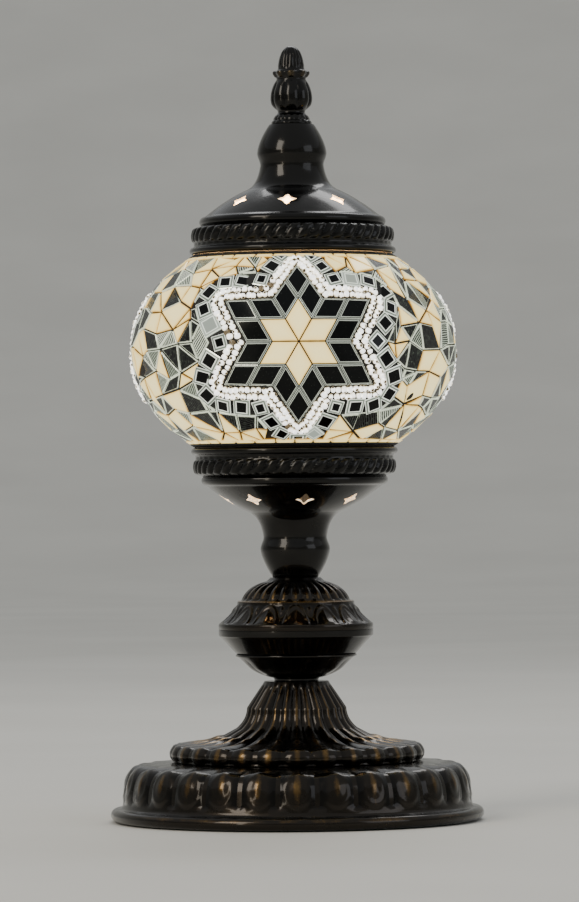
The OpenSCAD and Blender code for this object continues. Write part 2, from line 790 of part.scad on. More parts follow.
// A closed path round the star at distance d: straight along its 12 edges and round its 6 tips.
// along gives [point, direction] at length s from the first notch.
function edge_len(d) = 2 * cell - d / tan(60);
function round_len(d) = d * 2 * PI / 3;
function lobe_len(d) = 2 * edge_len(d) + round_len(d);
function turned_by(p, a) = [p[0] * cos(a) - p[1] * sin(a), p[0] * sin(a) + p[1] * cos(a)];
function along(s, d) = let (
    lobe = floor(s / lobe_len(d)),
    t = s - lobe * lobe_len(d),
    notch = (2 * cell + d / sin(60)) * [cos(-30), sin(-30)],
    tip = [2 * cell * sqrt(3), 0],
    first = t < edge_len(d),
    last = t > edge_len(d) + round_len(d),
    mid = (t - edge_len(d)) / round_len(d) * 120,
    back = lobe_len(d) - t,
    p = first ? notch + t * [cos(30), sin(30)]
        : last ? [notch[0], -notch[1]] + back * [cos(30), -sin(30)]
        : tip + d * [cos(mid - 60), sin(mid - 60)],
    a = first ? 30 : last ? 150 : mid + 30
) [turned_by(p, 30 + 60 * lobe), a + 30 + 60 * lobe];

// Evenly spaced places on the path, with one in every notch
function path_points(d, pitch) = let (n = round(lobe_len(d) / pitch)) [
    for (i = [0 : 6 * n - 1]) along(lobe_len(d) * i / n, d)
];

// Meridian length at which a piece is still clear of the rims
rim_s = meridian(acos(min(0.99, (rim_r + 2) / globe_r)));

module bead_rows() {
    color("#f4f4f0")
        for (az = motif_turns)
            for (row = [0 : 1])
                for (b = path_points(bead_row + row * bead_step, bead_d + bead_gap)) {
                    q = laid(b[0], az);
                    t = angle_at(q[1]);
                    lean = atan2(sin(t) / globe_b, cos(t) / globe_r);
                    if (abs(q[1]) < rim_s - bead_d / 2)
                        translate(on_globe(q[0], q[1], tile_zone - 0.1))
                            rotate([0, 90 - lean, q[0] - 90])
                                cylinder(r = bead_d / 2, h = tile_zone - 0.2);
                }
}

square_row = bead_row + bead_step + bead_d / 2 + square_w / 2 + 1.4 * tile_gap;

function square_at(b, w) = [
    for (k = [45 : 90 : 315]) b[0] + w / sqrt(2) * [cos(b[1] + k), sin(b[1] + k)]
];

// Distance from the star's edge to the flat point p outside it
function star_gap(p) = let (
    a = abs((atan2(p[1], p[0]) + 360) % 60 - 30),
    q = norm(p) * [cos(a), sin(a)],
    tip = [2 * cell * sqrt(3), 0],
    n = [sin(30), cos(30)],
    on_edge = (q - tip) * [-cos(30), sin(30)]
) on_edge < 0 ? norm(q - tip) : (q - tip) * n;

function clear_of_rims(q) = max([for (p = q) abs(p[1])]) < rim_s;

// The square in a notch is smaller, and one of its corners points into the notch
module square_mirrors() {
    spots = path_points(square_row, square_pitch);
    color("#39403f")
        plates([
            for (az = motif_turns)
                for (i = [0 : len(spots) - 1])
                    let (
                        in_notch = i % (len(spots) / 6) == 0,
                        b = spots[i],
                        flat = in_notch ? square_at([b[0], b[1] - 15], 0.84 * square_w) : square_at(b, square_w),
                        q = [for (p = flat) laid(p, az)]
                    )
                        if (clear_of_rims(q)) q
        ]);
}

// Cut pieces in the ground between the motifs: rows of cells, each split along one diagonal.
// A piece is kept where it is clear of the squares round every motif.
filler_count = round(2 * PI * globe_r / filler_w);
filler_rows = round(rim_s / filler_w);
filler_h = rim_s / filler_rows;
ground_gap = square_row + square_w / 2 + 3 * tile_gap;

function filler(i, j, half) = let (
    step = 360 / filler_count,
    low = j * filler_h,
    high = low + filler_h,
    a = i * step,
    b = a + step,
    lean = (i + j) % 2
) half == 0
    ? (lean == 0 ? [[a, low], [b, low], [b, high]] : [[a, low], [b, low], [a, high]])
    : (lean == 0 ? [[a, low], [b, high], [a, high]] : [[b, low], [b, high], [a, high]]);

// Corners of a piece as flat lengths about its own middle, drawn in by the gap, and back again
function drawn_in(q) = let (
    m = middle(q),
    k = globe_r * cos(angle_at(m[1])) * PI / 180,
    flat = shrunk([for (p = q) [(p[0] - m[0]) * k, p[1] - m[1]]], 1.6 * tile_gap)
) [for (p = flat) [m[0] + p[0] / k, m[1] + p[1]]];

function nearest_turn(az) = min([for (t = motif_turns) let (d = ((az - t) % 360 + 540) % 360 - 180) abs(d)]);
function in_ground(q) = min([for (p = q) let (d = nearest_turn(p[0])) star_gap(flat_at(d, p[1]))]) > ground_gap;

module fillers(kind) {
    plates([
        for (j = [-filler_rows : filler_rows - 1])
            for (i = [0 : filler_count - 1])
                for (half = [0, 1])
                    let (q = drawn_in(filler(i, j, half)))
                        if ((i + 2 * j + half) % 2 == kind && in_ground(q) && clear_of_rims(q)) q
    ]);
}

module cream_fillers() {
    color("#f2e3b8") fillers(0);
}

module clear_fillers() {
    color("#8e978c") fillers(1);
}

felt_pad();
base_cover();
base_foot();
cord_gland();
gland_nut();
fluted_bell();
knob_bowl();
knob_cover();
lower_cup();
globe_seat();
threaded_pipe();
bottom_washer();
bottom_nut();
neck_washer();
neck_nut();
holder_base();
holder_sleeve();
holder_thread();
holder_contact();
terminal_screws();
globe_glass();
mosaic_bed();
star_mirrors();
star_creams();
square_mirrors();
bead_rows();
cream_fillers();
clear_fillers();
cap_shell();
finial();
finial_washer();
finial_nut();
bulb_glass();
bulb_cap();
bulb_insulator();
bulb_contact();
bulb_stem();
bulb_filament();
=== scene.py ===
"""Looks of a mosaic glass table lamp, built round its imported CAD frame.

A pressed and spun metal stand in antique plating carries a flattened glass globe. The globe is
covered with cut mirror, opal and clear glass and seed beads in black grout, and a spun cap with an
acorn finial closes it. Lengths in the classes are millimetres, meshes are metres.
"""

import logging
import math
from dataclasses import dataclass, field
from enum import Enum
from typing import Any, Iterable, Sequence

import bmesh
import bpy
import numpy as np
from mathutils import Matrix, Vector
from mathutils.geometry import delaunay_2d_cdt

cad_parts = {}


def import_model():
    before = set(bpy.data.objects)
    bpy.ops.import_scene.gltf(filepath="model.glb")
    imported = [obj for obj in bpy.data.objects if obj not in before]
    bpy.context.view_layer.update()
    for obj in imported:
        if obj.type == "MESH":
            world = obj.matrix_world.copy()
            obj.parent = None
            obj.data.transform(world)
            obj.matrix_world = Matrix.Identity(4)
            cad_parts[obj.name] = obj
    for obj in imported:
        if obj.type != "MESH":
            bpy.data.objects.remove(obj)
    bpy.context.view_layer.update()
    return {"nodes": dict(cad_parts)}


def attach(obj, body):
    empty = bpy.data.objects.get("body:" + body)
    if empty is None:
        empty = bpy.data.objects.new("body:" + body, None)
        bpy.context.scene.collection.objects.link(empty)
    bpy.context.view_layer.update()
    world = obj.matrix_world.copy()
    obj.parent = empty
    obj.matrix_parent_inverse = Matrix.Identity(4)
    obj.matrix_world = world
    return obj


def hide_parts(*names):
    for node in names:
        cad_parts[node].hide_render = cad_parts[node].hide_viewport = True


Array = np.ndarray
MM = 0.001
FRONT = -math.pi / 2
log = logging.getLogger("mosaic_lamp")


class Body(Enum):
    """The lamp's moving bodies."""

    STAND = "stand"
    GLOBE = "globe"
    CAP = "cap"
    BULB = "bulb"


class Slot(Enum):
    """The record's material slot names, listed here; the new pieces take their finishes from the finishes by name, not
    from these.
    """

    METAL = "antique_metal"
    GROUT = "black_grout"
    MIRROR = "mirror_glass"
    CREAM = "cream_glass"
    CLEAR = "green_glass"
    BEAD = "bead_glass"


# ---------------------------------------------------------------- node and colour helpers


def linear(code: str) -> tuple[float, float, float, float]:
    """Linear colour of an sRGB hex value.

    Args:
        code: Six hex digits, such as "8a6f42".

    Returns:
        Red, green, blue and alpha, with each channel c as c/12.92 below 0.04045 and
        ((c + 0.055)/1.055)^2.4 above it.
    """
    parts = [int(code[i : i + 2], 16) / 255 for i in (0, 2, 4)]
    red, green, blue = (c / 12.92 if c <= 0.04045 else ((c + 0.055) / 1.055) ** 2.4 for c in parts)
    return (red, green, blue, 1.0)


def add(
    tree: bpy.types.NodeTree,
    kind: str,
    settings: dict[str | int, Any] | None = None,
    links: dict[str | int, bpy.types.NodeSocket] | None = None,
) -> bpy.types.Node:
    """Adds one node with its settings and links.

    Args:
        tree: The material's node tree.
        kind: The node's type, such as "ShaderNodeTexNoise".
        settings: Node attributes or input defaults, by name or input number.
        links: Output sockets to join to inputs, by input name or number.

    Returns:
        The new node.
    """
    node = tree.nodes.new(kind)
    for key, value in (settings or {}).items():
        if isinstance(key, str) and hasattr(node, key):
            setattr(node, key, value)
        else:
            node.inputs[key].default_value = value
    for key, socket in (links or {}).items():
        tree.links.new(socket, node.inputs[key])
    return node


def ramp(
    tree: bpy.types.NodeTree, share: bpy.types.NodeSocket, stops: Sequence[tuple[float, str]]
) -> bpy.types.NodeSocket:
    """A colour ramp from sRGB hex stops.

    Args:
        tree: The material's node tree.
        share: The number that picks the colour.
        stops: Places from 0 to 1 and their colours.

    Returns:
        The ramp's colour output.
    """
    node = add(tree, "ShaderNodeValToRGB", links={"Fac": share})
    band = node.color_ramp
    while len(band.elements) < len(stops):
        band.elements.new(0.5)
    for stop, (place, code) in zip(band.elements, stops):
        stop.position = place
        stop.color = linear(code)
    return node.outputs["Color"]


@dataclass(frozen=True)
class Finish:
    """A procedural finish. Subclasses wire their own surface into the shader."""

    name: str

    def build(self) -> bpy.types.Material:
        """Makes the material, with one principled shader that the subclass dresses."""
        material = bpy.data.materials.new(self.name)
        material.use_nodes = True
        tree = material.node_tree
        tree.nodes.clear()
        shader = add(tree, "ShaderNodeBsdfPrincipled")
        add(tree, "ShaderNodeOutputMaterial", links={"Surface": shader.outputs["BSDF"]})
        place = add(tree, "ShaderNodeTexCoord").outputs["Object"]
        self.dress(tree, shader, place)
        return material

    def dress(
        self, tree: bpy.types.NodeTree, shader: bpy.types.Node, place: bpy.types.NodeSocket
    ) -> None:
        """Wires the finish into the shader.

        Args:
            tree: The material's node tree.
            shader: The principled shader.
            place: Object coordinates in metres.
        """
        raise NotImplementedError


@dataclass(frozen=True)
class AntiquePlate(Finish):
    """Brass plate on pressed steel, blackened in a bath, relieved on the crests and lacquered.

    It gives the eye near-black hollows, warm crests that are partly relieved plate and partly painted highlight, and
    long sharp highlights.
    """

    hollow: str = "0f0d0b"
    body: str = "241f19"
    # warm crest colour: partly relieved plate, partly painted highlight
    rubbed_and_highlit: str = "92713c"
    rough: float = 0.2

    def dress(
        self, tree: bpy.types.NodeTree, shader: bpy.types.Node, place: bpy.types.NodeSocket
    ) -> None:
        """Mixes hollow, body and warm crest colours by the crest mark and two noises; the warm crest colour is partly
        relieved plate and partly painted highlight.
        """
        wear_and_highlight = add(tree, "ShaderNodeAttribute", {"attribute_name": "wear_and_highlight"}).outputs["Fac"]
        # patches of patina 12 mm across, and specks 0.8 mm across
        broad = add(
            tree, "ShaderNodeTexNoise", {"Scale": 80.0, "Detail": 5.0, "Roughness": 0.62}, {"Vector": place}
        ).outputs["Fac"]
        speck = add(
            tree, "ShaderNodeTexNoise", {"Scale": 1250.0, "Detail": 2.0}, {"Vector": place}
        ).outputs["Fac"]
        patina = add(
            tree, "ShaderNodeMath", {"operation": "MULTIPLY_ADD", 1: 0.34, 2: -0.17}, {0: broad}
        ).outputs[0]
        worn_and_highlit = add(tree, "ShaderNodeMath", {"operation": "ADD"}, {0: wear_and_highlight, 1: patina}).outputs[0]
        grain = add(
            tree, "ShaderNodeMath", {"operation": "MULTIPLY_ADD", 1: 0.12, 2: -0.06}, {0: speck}
        ).outputs[0]
        share = add(tree, "ShaderNodeMath", {"operation": "ADD", "use_clamp": True}, {0: worn_and_highlit, 1: grain})
        # hollow patina, body, then the warm crest colour, which is partly relieved plate and partly painted highlight
        colour = ramp(
            tree,
            share.outputs[0],
            [(0.0, self.hollow), (0.3, self.body), (0.62, self.body), (0.98, self.rubbed_and_highlit)],
        )
        tree.links.new(colour, shader.inputs["Base Color"])
        rough = add(
            tree,
            "ShaderNodeMapRange",
            {"From Min": 0.3, "From Max": 0.7, "To Min": self.rough - 0.05, "To Max": self.rough + 0.13},
            {"Value": broad},
        ).outputs["Result"]
        tree.links.new(rough, shader.inputs["Roughness"])
        # the plate's faint orange peel: 0.02 mm deep, 3 mm apart
        peel = add(
            tree, "ShaderNodeTexNoise", {"Scale": 330.0, "Detail": 3.0}, {"Vector": place}
        ).outputs["Fac"]
        bump = add(
            tree, "ShaderNodeBump", {"Strength": 0.22, "Distance": 0.0002}, {"Height": peel}
        )
        tree.links.new(bump.outputs["Normal"], shader.inputs["Normal"])
        shader.inputs["Metallic"].default_value = 1.0
        shader.inputs["Coat Weight"].default_value = 0.35
        shader.inputs["Coat Roughness"].default_value = 0.09


@dataclass(frozen=True)
class LitInside(Finish):
    """The bare plated inside of the cup and cap, bright with the bulb's light."""

    def dress(
        self, tree: bpy.types.NodeTree, shader: bpy.types.Node, place: bpy.types.NodeSocket
    ) -> None:
        """A pale warm metal with soft stains, which also glows as a lit hollow does."""
        stain = add(
            tree, "ShaderNodeTexNoise", {"Scale": 140.0, "Detail": 4.0}, {"Vector": place}
        ).outputs["Fac"]
        colour = ramp(tree, stain, [(0.3, "b59c7c"), (0.7, "efe0c8")])
        tree.links.new(colour, shader.inputs["Base Color"])
        tree.links.new(colour, shader.inputs["Emission Color"])
        shader.inputs["Emission Strength"].default_value = 1.5
        shader.inputs["Metallic"].default_value = 0.3
        shader.inputs["Roughness"].default_value = 0.42


@dataclass(frozen=True)
class CutMirror(Finish):
    """Silvered float glass, cut and snapped, over a lit globe.

    Its near-black face is a painted reflection of a dark room; the thin pale green lines round it are partly ground
    glass edges and partly painted highlight, and its emission is a painted glow of the bulb's light through those
    edges.
    """

    line: float = 0.5
    edge_glow: float = 0.8
    mid: str = "171a17"
    pale: str = "dfe6d6"
    glow_through_share: float = 0.0

    def dress(
        self, tree: bpy.types.NodeTree, shader: bpy.types.Node, place: bpy.types.NodeSocket
    ) -> None:
        """Colours the face by the distance in from its edge: wall, line, gap, line, mirror."""
        inset = add(tree, "ShaderNodeAttribute", {"attribute_name": "inset"}).outputs["Fac"]
        lot = add(tree, "ShaderNodeAttribute", {"attribute_name": "lot"}).outputs["Fac"]
        smudge = add(
            tree, "ShaderNodeTexNoise", {"Scale": 420.0, "Detail": 5.0, "Roughness": 0.7}, {"Vector": place}
        ).outputs["Fac"]
        wobble = add(
            tree, "ShaderNodeMath", {"operation": "MULTIPLY_ADD", 1: 0.7 * self.line, 2: -0.35 * self.line}, {0: smudge}
        ).outputs[0]
        reach = add(tree, "ShaderNodeMath", {"operation": "ADD"}, {0: inset, 1: wobble}).outputs[0]
        share = add(
            tree,
            "ShaderNodeMapRange",
            {"From Min": -1.6, "From Max": 4.0 * self.line + 0.4},
            {"Value": reach},
        ).outputs["Result"]
        span = 4.0 * self.line + 2.0
        # the near-black stop three lines in is a painted reflection of a dark room; the pale stops are partly ground
        # edge and partly painted highlight
        marks = [(-1.6, "2c3029"), (-0.3, "586053"), (0.0, self.pale), (0.8 * self.line, self.mid)]
        marks += [(1.7 * self.line, self.mid), (2.3 * self.line, self.pale), (3.0 * self.line, "121414")]
        colour = ramp(tree, share, [((at + 1.6) / span, code) for at, code in marks])
        # painted glow: emission of the bulb's light through the ground edges
        glow = ramp(
            tree,
            share,
            [
                (0.0, "0a0a08"),
                (1.3 / span, "20241e"),
                (1.6 / span, self.pale),
                ((0.8 * self.line + 1.6) / span, self.mid),
                ((1.7 * self.line + 1.6) / span, self.mid),
                ((2.3 * self.line + 1.6) / span, self.pale),
                ((3.0 * self.line + 1.6) / span, "000000"),
            ],
        )
        dust = add(
            tree, "ShaderNodeTexVoronoi", {"Scale": 700.0, "Randomness": 1.0}, {"Vector": place}
        ).outputs["Distance"]
        fleck = ramp(tree, dust, [(0.0, "8f978c"), (0.1, "2a2d2a"), (0.22, "000000")])
        face = add(
            tree, "ShaderNodeMix", {"data_type": "RGBA", "blend_type": "SCREEN", 0: 0.55}, {6: colour, 7: fleck}
        ).outputs[2]
        # painted glow over the whole face of a share of pieces, as of see-through glass lit from behind
        over = add(tree, "ShaderNodeMath", {"operation": "GREATER_THAN", 1: 1.0 - self.glow_through_share}, {0: lot}).outputs[0]
        glow_through = add(tree, "ShaderNodeMath", {"operation": "MULTIPLY", 1: 0.62}, {0: over}).outputs[0]
        lit = add(
            tree, "ShaderNodeMix", {"data_type": "RGBA", 7: linear("c3ccbe")}, {0: glow_through, 6: glow}
        ).outputs[2]
        tree.links.new(face, shader.inputs["Base Color"])
        tree.links.new(lit, shader.inputs["Emission Color"])
        shader.inputs["Emission Strength"].default_value = self.edge_glow
        sheen = add(
            tree, "ShaderNodeMapRange", {"From Min": 0.0, "From Max": 1.0, "To Min": 0.05, "To Max": 0.16},
            {"Value": lot},
        ).outputs["Result"]
        tree.links.new(sheen, shader.inputs["Roughness"])
        shader.inputs["Metallic"].default_value = 0.75


@dataclass(frozen=True)
class OpalCream(Finish):
    """Opal sheet glass, cut by hand, with the bulb behind it.

    It gives the eye an even warm cream glow that browns towards the edge and the back.
    """

    glow: float = 1.55

    def dress(
        self, tree: bpy.types.NodeTree, shader: bpy.types.Node, place: bpy.types.NodeSocket
    ) -> None:
        """Cream in the middle, honey at the edge, brown down the cut wall."""
        inset = add(tree, "ShaderNodeAttribute", {"attribute_name": "inset"}).outputs["Fac"]
        cloud = add(
            tree, "ShaderNodeTexNoise", {"Scale": 110.0, "Detail": 4.0, "Roughness": 0.6}, {"Vector": place}
        ).outputs["Fac"]
        drift = add(
            tree, "ShaderNodeMath", {"operation": "MULTIPLY_ADD", 1: 1.1, 2: -0.55}, {0: cloud}
        ).outputs[0]
        reach = add(tree, "ShaderNodeMath", {"operation": "ADD"}, {0: inset, 1: drift}).outputs[0]
        share = add(
            tree, "ShaderNodeMapRange", {"From Min": -1.6, "From Max": 3.0}, {"Value": reach}
        ).outputs["Result"]
        colour = ramp(
            tree, share, [(0.0, "4a2f10"), (0.27, "8f672a"), (0.37, "eacb78"), (0.5, "ffe9a0"), (1.0, "fff0ae")]
        )
        tint = add(
            tree, "ShaderNodeMix", {"data_type": "RGBA", "blend_type": "MULTIPLY", 0: 1.0, 7: linear("b59a62")}, {6: colour}
        ).outputs[2]
        tree.links.new(tint, shader.inputs["Base Color"])
        tree.links.new(colour, shader.inputs["Emission Color"])
        shader.inputs["Emission Strength"].default_value = self.glow
        shader.inputs["Roughness"].default_value = 0.22
        shader.inputs["Coat Weight"].default_value = 0.5
        shader.inputs["Coat Roughness"].default_value = 0.06


@dataclass(frozen=True)
class RippledClear(Finish):
    """Offcuts of mirror and of rippled clear glass with a green edge, over the lit globe.

    Its dark faces are a painted reflection of a dark room, inside thin bright edges that are partly ground glass and
    partly painted highlight, and here and there grey-green streaks that run along the cut. Its emission is a painted
    glow of the bulb's light.
    """

    glow: float = 0.8
    streaked: float = 0.36

    def dress(
        self, tree: bpy.types.NodeTree, shader: bpy.types.Node, place: bpy.types.NodeSocket
    ) -> None:
        """Streaks 1.7 mm apart on the piece's own map, shifted from piece to piece."""
        inset = add(tree, "ShaderNodeAttribute", {"attribute_name": "inset"}).outputs["Fac"]
        lot = add(tree, "ShaderNodeAttribute", {"attribute_name": "lot"}).outputs["Fac"]
        cut = add(tree, "ShaderNodeUVMap", {"uv_map": "cut"}).outputs["UV"]
        phase = add(
            tree, "ShaderNodeMath", {"operation": "MULTIPLY", 1: 40.0}, {0: lot}
        ).outputs[0]
        streak = add(
            tree,
            "ShaderNodeTexWave",
            {"wave_type": "BANDS", "bands_direction": "Y", "Scale": 0.3, "Distortion": 5.5, "Detail": 3.0,
             "Detail Scale": 0.35},
            {"Vector": cut, "Phase Offset": phase},
        ).outputs["Fac"]
        fine = add(
            tree, "ShaderNodeTexNoise", {"Scale": 700.0, "Detail": 4.0}, {"Vector": place}
        ).outputs["Fac"]
        tone = add(
            tree, "ShaderNodeMath", {"operation": "MULTIPLY_ADD", 1: 0.9, 2: -0.45}, {0: lot}
        ).outputs[0]
        mixed = add(
            tree, "ShaderNodeMath", {"operation": "MULTIPLY_ADD", 1: 0.35}, {0: fine, 2: streak}
        ).outputs[0]
        share = add(tree, "ShaderNodeMath", {"operation": "ADD", "use_clamp": True}, {0: mixed, 1: tone})
        face = ramp(
            tree,
            share.outputs[0],
            [(0.1, "161a14"), (0.35, "3c4438"), (0.6, "7b8674"), (0.85, "c0cab7"), (1.0, "f1f4e4")],
        )
        rippled = add(tree, "ShaderNodeMath", {"operation": "LESS_THAN", 1: self.streaked}, {0: lot}).outputs[0]
        # dark mirror offcuts: a painted reflection of a dark room
        dark = ramp(tree, fine, [(0.45, "060707"), (0.62, "1d211c"), (0.75, "4f584c")])
        chosen = add(tree, "ShaderNodeMix", {"data_type": "RGBA"}, {0: rippled, 6: dark, 7: face}).outputs[2]
        reach = add(
            tree, "ShaderNodeMath", {"operation": "MULTIPLY_ADD", 1: 0.5}, {0: fine, 2: inset}
        ).outputs[0]
        # bright edges: partly ground glass, partly painted highlight; the emission below is a painted glow
        edge = add(
            tree, "ShaderNodeMapRange", {"From Min": 0.35, "From Max": 0.7, "To Min": 1.0, "To Max": 0.0},
            {"Value": reach},
        ).outputs["Result"]
        bright = add(
            tree, "ShaderNodeMix", {"data_type": "RGBA", 7: linear("dfe6d0")}, {0: edge, 6: chosen}
        ).outputs[2]
        tree.links.new(bright, shader.inputs["Base Color"])
        tree.links.new(bright, shader.inputs["Emission Color"])
        shader.inputs["Emission Strength"].default_value = self.glow
        shader.inputs["Roughness"].default_value = 0.07
        shader.inputs["Metallic"].default_value = 0.2
        bump = add(
            tree, "ShaderNodeBump", {"Strength": 0.3, "Distance": 0.0003}, {"Height": streak}
        )
        tree.links.new(bump.outputs["Normal"], shader.inputs["Normal"])


@dataclass(frozen=True)
class LitBead(Finish):
    """Clear seed beads that gather the bulb's light: white hot, with a dim hole."""

    glow: float = 1.9

    def dress(
        self, tree: bpy.types.NodeTree, shader: bpy.types.Node, place: bpy.types.NodeSocket
    ) -> None:
        """Painted light white outside and painted shade grey-brown in the bore and low down, a few dead beads; the
        emission is a painted glow.
        """
        lit_share = add(tree, "ShaderNodeAttribute", {"attribute_name": "inset"}).outputs["Fac"]
        lot = add(tree, "ShaderNodeAttribute", {"attribute_name": "lot"}).outputs["Fac"]
        dead = add(tree, "ShaderNodeMath", {"operation": "LESS_THAN", 1: 0.025}, {0: lot}).outputs[0]
        swirl = add(
            tree, "ShaderNodeTexNoise", {"Scale": 850.0, "Detail": 2.0}, {"Vector": place}
        ).outputs["Fac"]
        drift = add(
            tree, "ShaderNodeMath", {"operation": "MULTIPLY_ADD", 1: 0.5, 2: -0.25}, {0: swirl}
        ).outputs[0]
        reach = add(tree, "ShaderNodeMath", {"operation": "ADD", "use_clamp": True}, {0: lit_share, 1: drift})
        lit = ramp(
            tree, reach.outputs[0], [(0.0, "2e2618"), (0.34, "85785a"), (0.6, "f1ecdc"), (1.0, "ffffff")]
        )
        colour = add(
            tree, "ShaderNodeMix", {"data_type": "RGBA", 7: linear("6e5f44")}, {0: dead, 6: lit}
        ).outputs[2]
        glow = add(
            tree, "ShaderNodeMix", {"data_type": "RGBA", 7: linear("2c2416")}, {0: dead, 6: lit}
        ).outputs[2]
        tree.links.new(colour, shader.inputs["Base Color"])
        tree.links.new(glow, shader.inputs["Emission Color"])
        shader.inputs["Emission Strength"].default_value = self.glow
        shader.inputs["Roughness"].default_value = 0.08
        shader.inputs["Coat Weight"].default_value = 0.6
        shader.inputs["Coat Roughness"].default_value = 0.05


@dataclass(frozen=True)
class BlackGrout(Finish):
    """Black cement grout, wiped by hand: dull, fine-grained and slightly uneven."""

    def dress(
        self, tree: bpy.types.NodeTree, shader: bpy.types.Node, place: bpy.types.NodeSocket
    ) -> None:
        """Grains 0.5 mm across over wiped hollows 6 mm across."""
        grain = add(
            tree, "ShaderNodeTexNoise", {"Scale": 2000.0, "Detail": 3.0}, {"Vector": place}
        ).outputs["Fac"]
        wipe = add(
            tree, "ShaderNodeTexNoise", {"Scale": 160.0, "Detail": 3.0}, {"Vector": place}
        ).outputs["Fac"]
        colour = ramp(tree, wipe, [(0.3, "070706"), (0.7, "1a1814")])
        tree.links.new(colour, shader.inputs["Base Color"])
        both = add(
            tree, "ShaderNodeMath", {"operation": "MULTIPLY_ADD", 1: 0.25}, {0: grain, 2: wipe}
        ).outputs[0]
        bump = add(tree, "ShaderNodeBump", {"Strength": 0.5, "Distance": 0.0005}, {"Height": both})
        tree.links.new(bump.outputs["Normal"], shader.inputs["Normal"])
        rough = add(
            tree, "ShaderNodeMapRange", {"To Min": 0.45, "To Max": 0.8}, {"Value": grain}
        ).outputs["Result"]
        tree.links.new(rough, shader.inputs["Roughness"])


@dataclass(frozen=True)
class BlownGlass(Finish):
    """Blown glass, clear or frosted, with faint waves; the bulb's is lit."""

    tint: str = "f2f7f0"
    rough: float = 0.02
    through: float = 0.95
    glow: float = 0.0

    def dress(
        self, tree: bpy.types.NodeTree, shader: bpy.types.Node, place: bpy.types.NodeSocket
    ) -> None:
        """Waves 20 mm apart in the wall, and a slight drift of tint."""
        wave = add(
            tree, "ShaderNodeTexNoise", {"Scale": 50.0, "Detail": 2.0}, {"Vector": place}
        ).outputs["Fac"]
        colour = ramp(tree, wave, [(0.3, self.tint), (0.7, "ffffff")])
        tree.links.new(colour, shader.inputs["Base Color"])
        bump = add(tree, "ShaderNodeBump", {"Strength": 0.1, "Distance": 0.0006}, {"Height": wave})
        tree.links.new(bump.outputs["Normal"], shader.inputs["Normal"])
        shader.inputs["Roughness"].default_value = self.rough
        shader.inputs["IOR"].default_value = 1.5
        shader.inputs["Transmission Weight"].default_value = self.through
        if self.glow:
            shader.inputs["Emission Color"].default_value = linear("ffe2ae")
            shader.inputs["Emission Strength"].default_value = self.glow


@dataclass(frozen=True)
class GlowingWire(Finish):
    """A tungsten wire at white heat, a little darker where it is held."""

    def dress(
        self, tree: bpy.types.NodeTree, shader: bpy.types.Node, place: bpy.types.NodeSocket
    ) -> None:
        """Orange to pale yellow by a noise 4 mm across."""
        heat = add(tree, "ShaderNodeTexNoise", {"Scale": 250.0}, {"Vector": place}).outputs["Fac"]
        colour = ramp(tree, heat, [(0.2, "ffb35a"), (0.8, "fff0cf")])
        tree.links.new(colour, shader.inputs["Base Color"])
        tree.links.new(colour, shader.inputs["Emission Color"])
        shader.inputs["Emission Strength"].default_value = 14.0
        shader.inputs["Roughness"].default_value = 0.5


@dataclass(frozen=True)
class MachinedMetal(Finish):
    """Turned or plated hardware: fine rings left by the tool and a little tarnish."""

    clean: str = "d8b368"
    dull: str = "8a6a33"
    rough: float = 0.24

    def dress(
        self, tree: bpy.types.NodeTree, shader: bpy.types.Node, place: bpy.types.NodeSocket
    ) -> None:
        """Tool rings 0.7 mm apart up the axis, and tarnish 5 mm across."""
        rings = add(
            tree,
            "ShaderNodeTexWave",
            {"wave_type": "BANDS", "bands_direction": "Z", "Scale": 450.0, "Distortion": 0.6},
            {"Vector": place},
        ).outputs["Fac"]
        tarnish = add(
            tree, "ShaderNodeTexNoise", {"Scale": 200.0, "Detail": 5.0}, {"Vector": place}
        ).outputs["Fac"]
        colour = ramp(tree, tarnish, [(0.35, self.clean), (0.75, self.dull)])
        tree.links.new(colour, shader.inputs["Base Color"])
        rough = add(
            tree,
            "ShaderNodeMapRange",
            {"To Min": self.rough - 0.06, "To Max": self.rough + 0.16},
            {"Value": tarnish},
        ).outputs["Result"]
        tree.links.new(rough, shader.inputs["Roughness"])
        bump = add(tree, "ShaderNodeBump", {"Strength": 0.15, "Distance": 0.0001}, {"Height": rings})
        tree.links.new(bump.outputs["Normal"], shader.inputs["Normal"])
        shader.inputs["Metallic"].default_value = 1.0


@dataclass(frozen=True)
class MouldedBlack(Finish):
    """Moulded phenolic, rubber or painted sheet: black with a fine spark texture."""

    tone: str = "141415"
    rough: float = 0.45
    grain: float = 1400.0

    def dress(
        self, tree: bpy.types.NodeTree, shader: bpy.types.Node, place: bpy.types.NodeSocket
    ) -> None:
        """A fine even bump with soft changes of sheen."""
        spark = add(
            tree, "ShaderNodeTexNoise", {"Scale": self.grain, "Detail": 2.0}, {"Vector": place}
        ).outputs["Fac"]
        sheen = add(tree, "ShaderNodeTexNoise", {"Scale": 90.0}, {"Vector": place}).outputs["Fac"]
        colour = ramp(tree, sheen, [(0.3, self.tone), (0.8, "232324")])
        tree.links.new(colour, shader.inputs["Base Color"])
        rough = add(
            tree,
            "ShaderNodeMapRange",
            {"To Min": self.rough - 0.1, "To Max": self.rough + 0.15},
            {"Value": sheen},
        ).outputs["Result"]
        tree.links.new(rough, shader.inputs["Roughness"])
        bump = add(tree, "ShaderNodeBump", {"Strength": 0.25, "Distance": 0.0001}, {"Height": spark})
        tree.links.new(bump.outputs["Normal"], shader.inputs["Normal"])


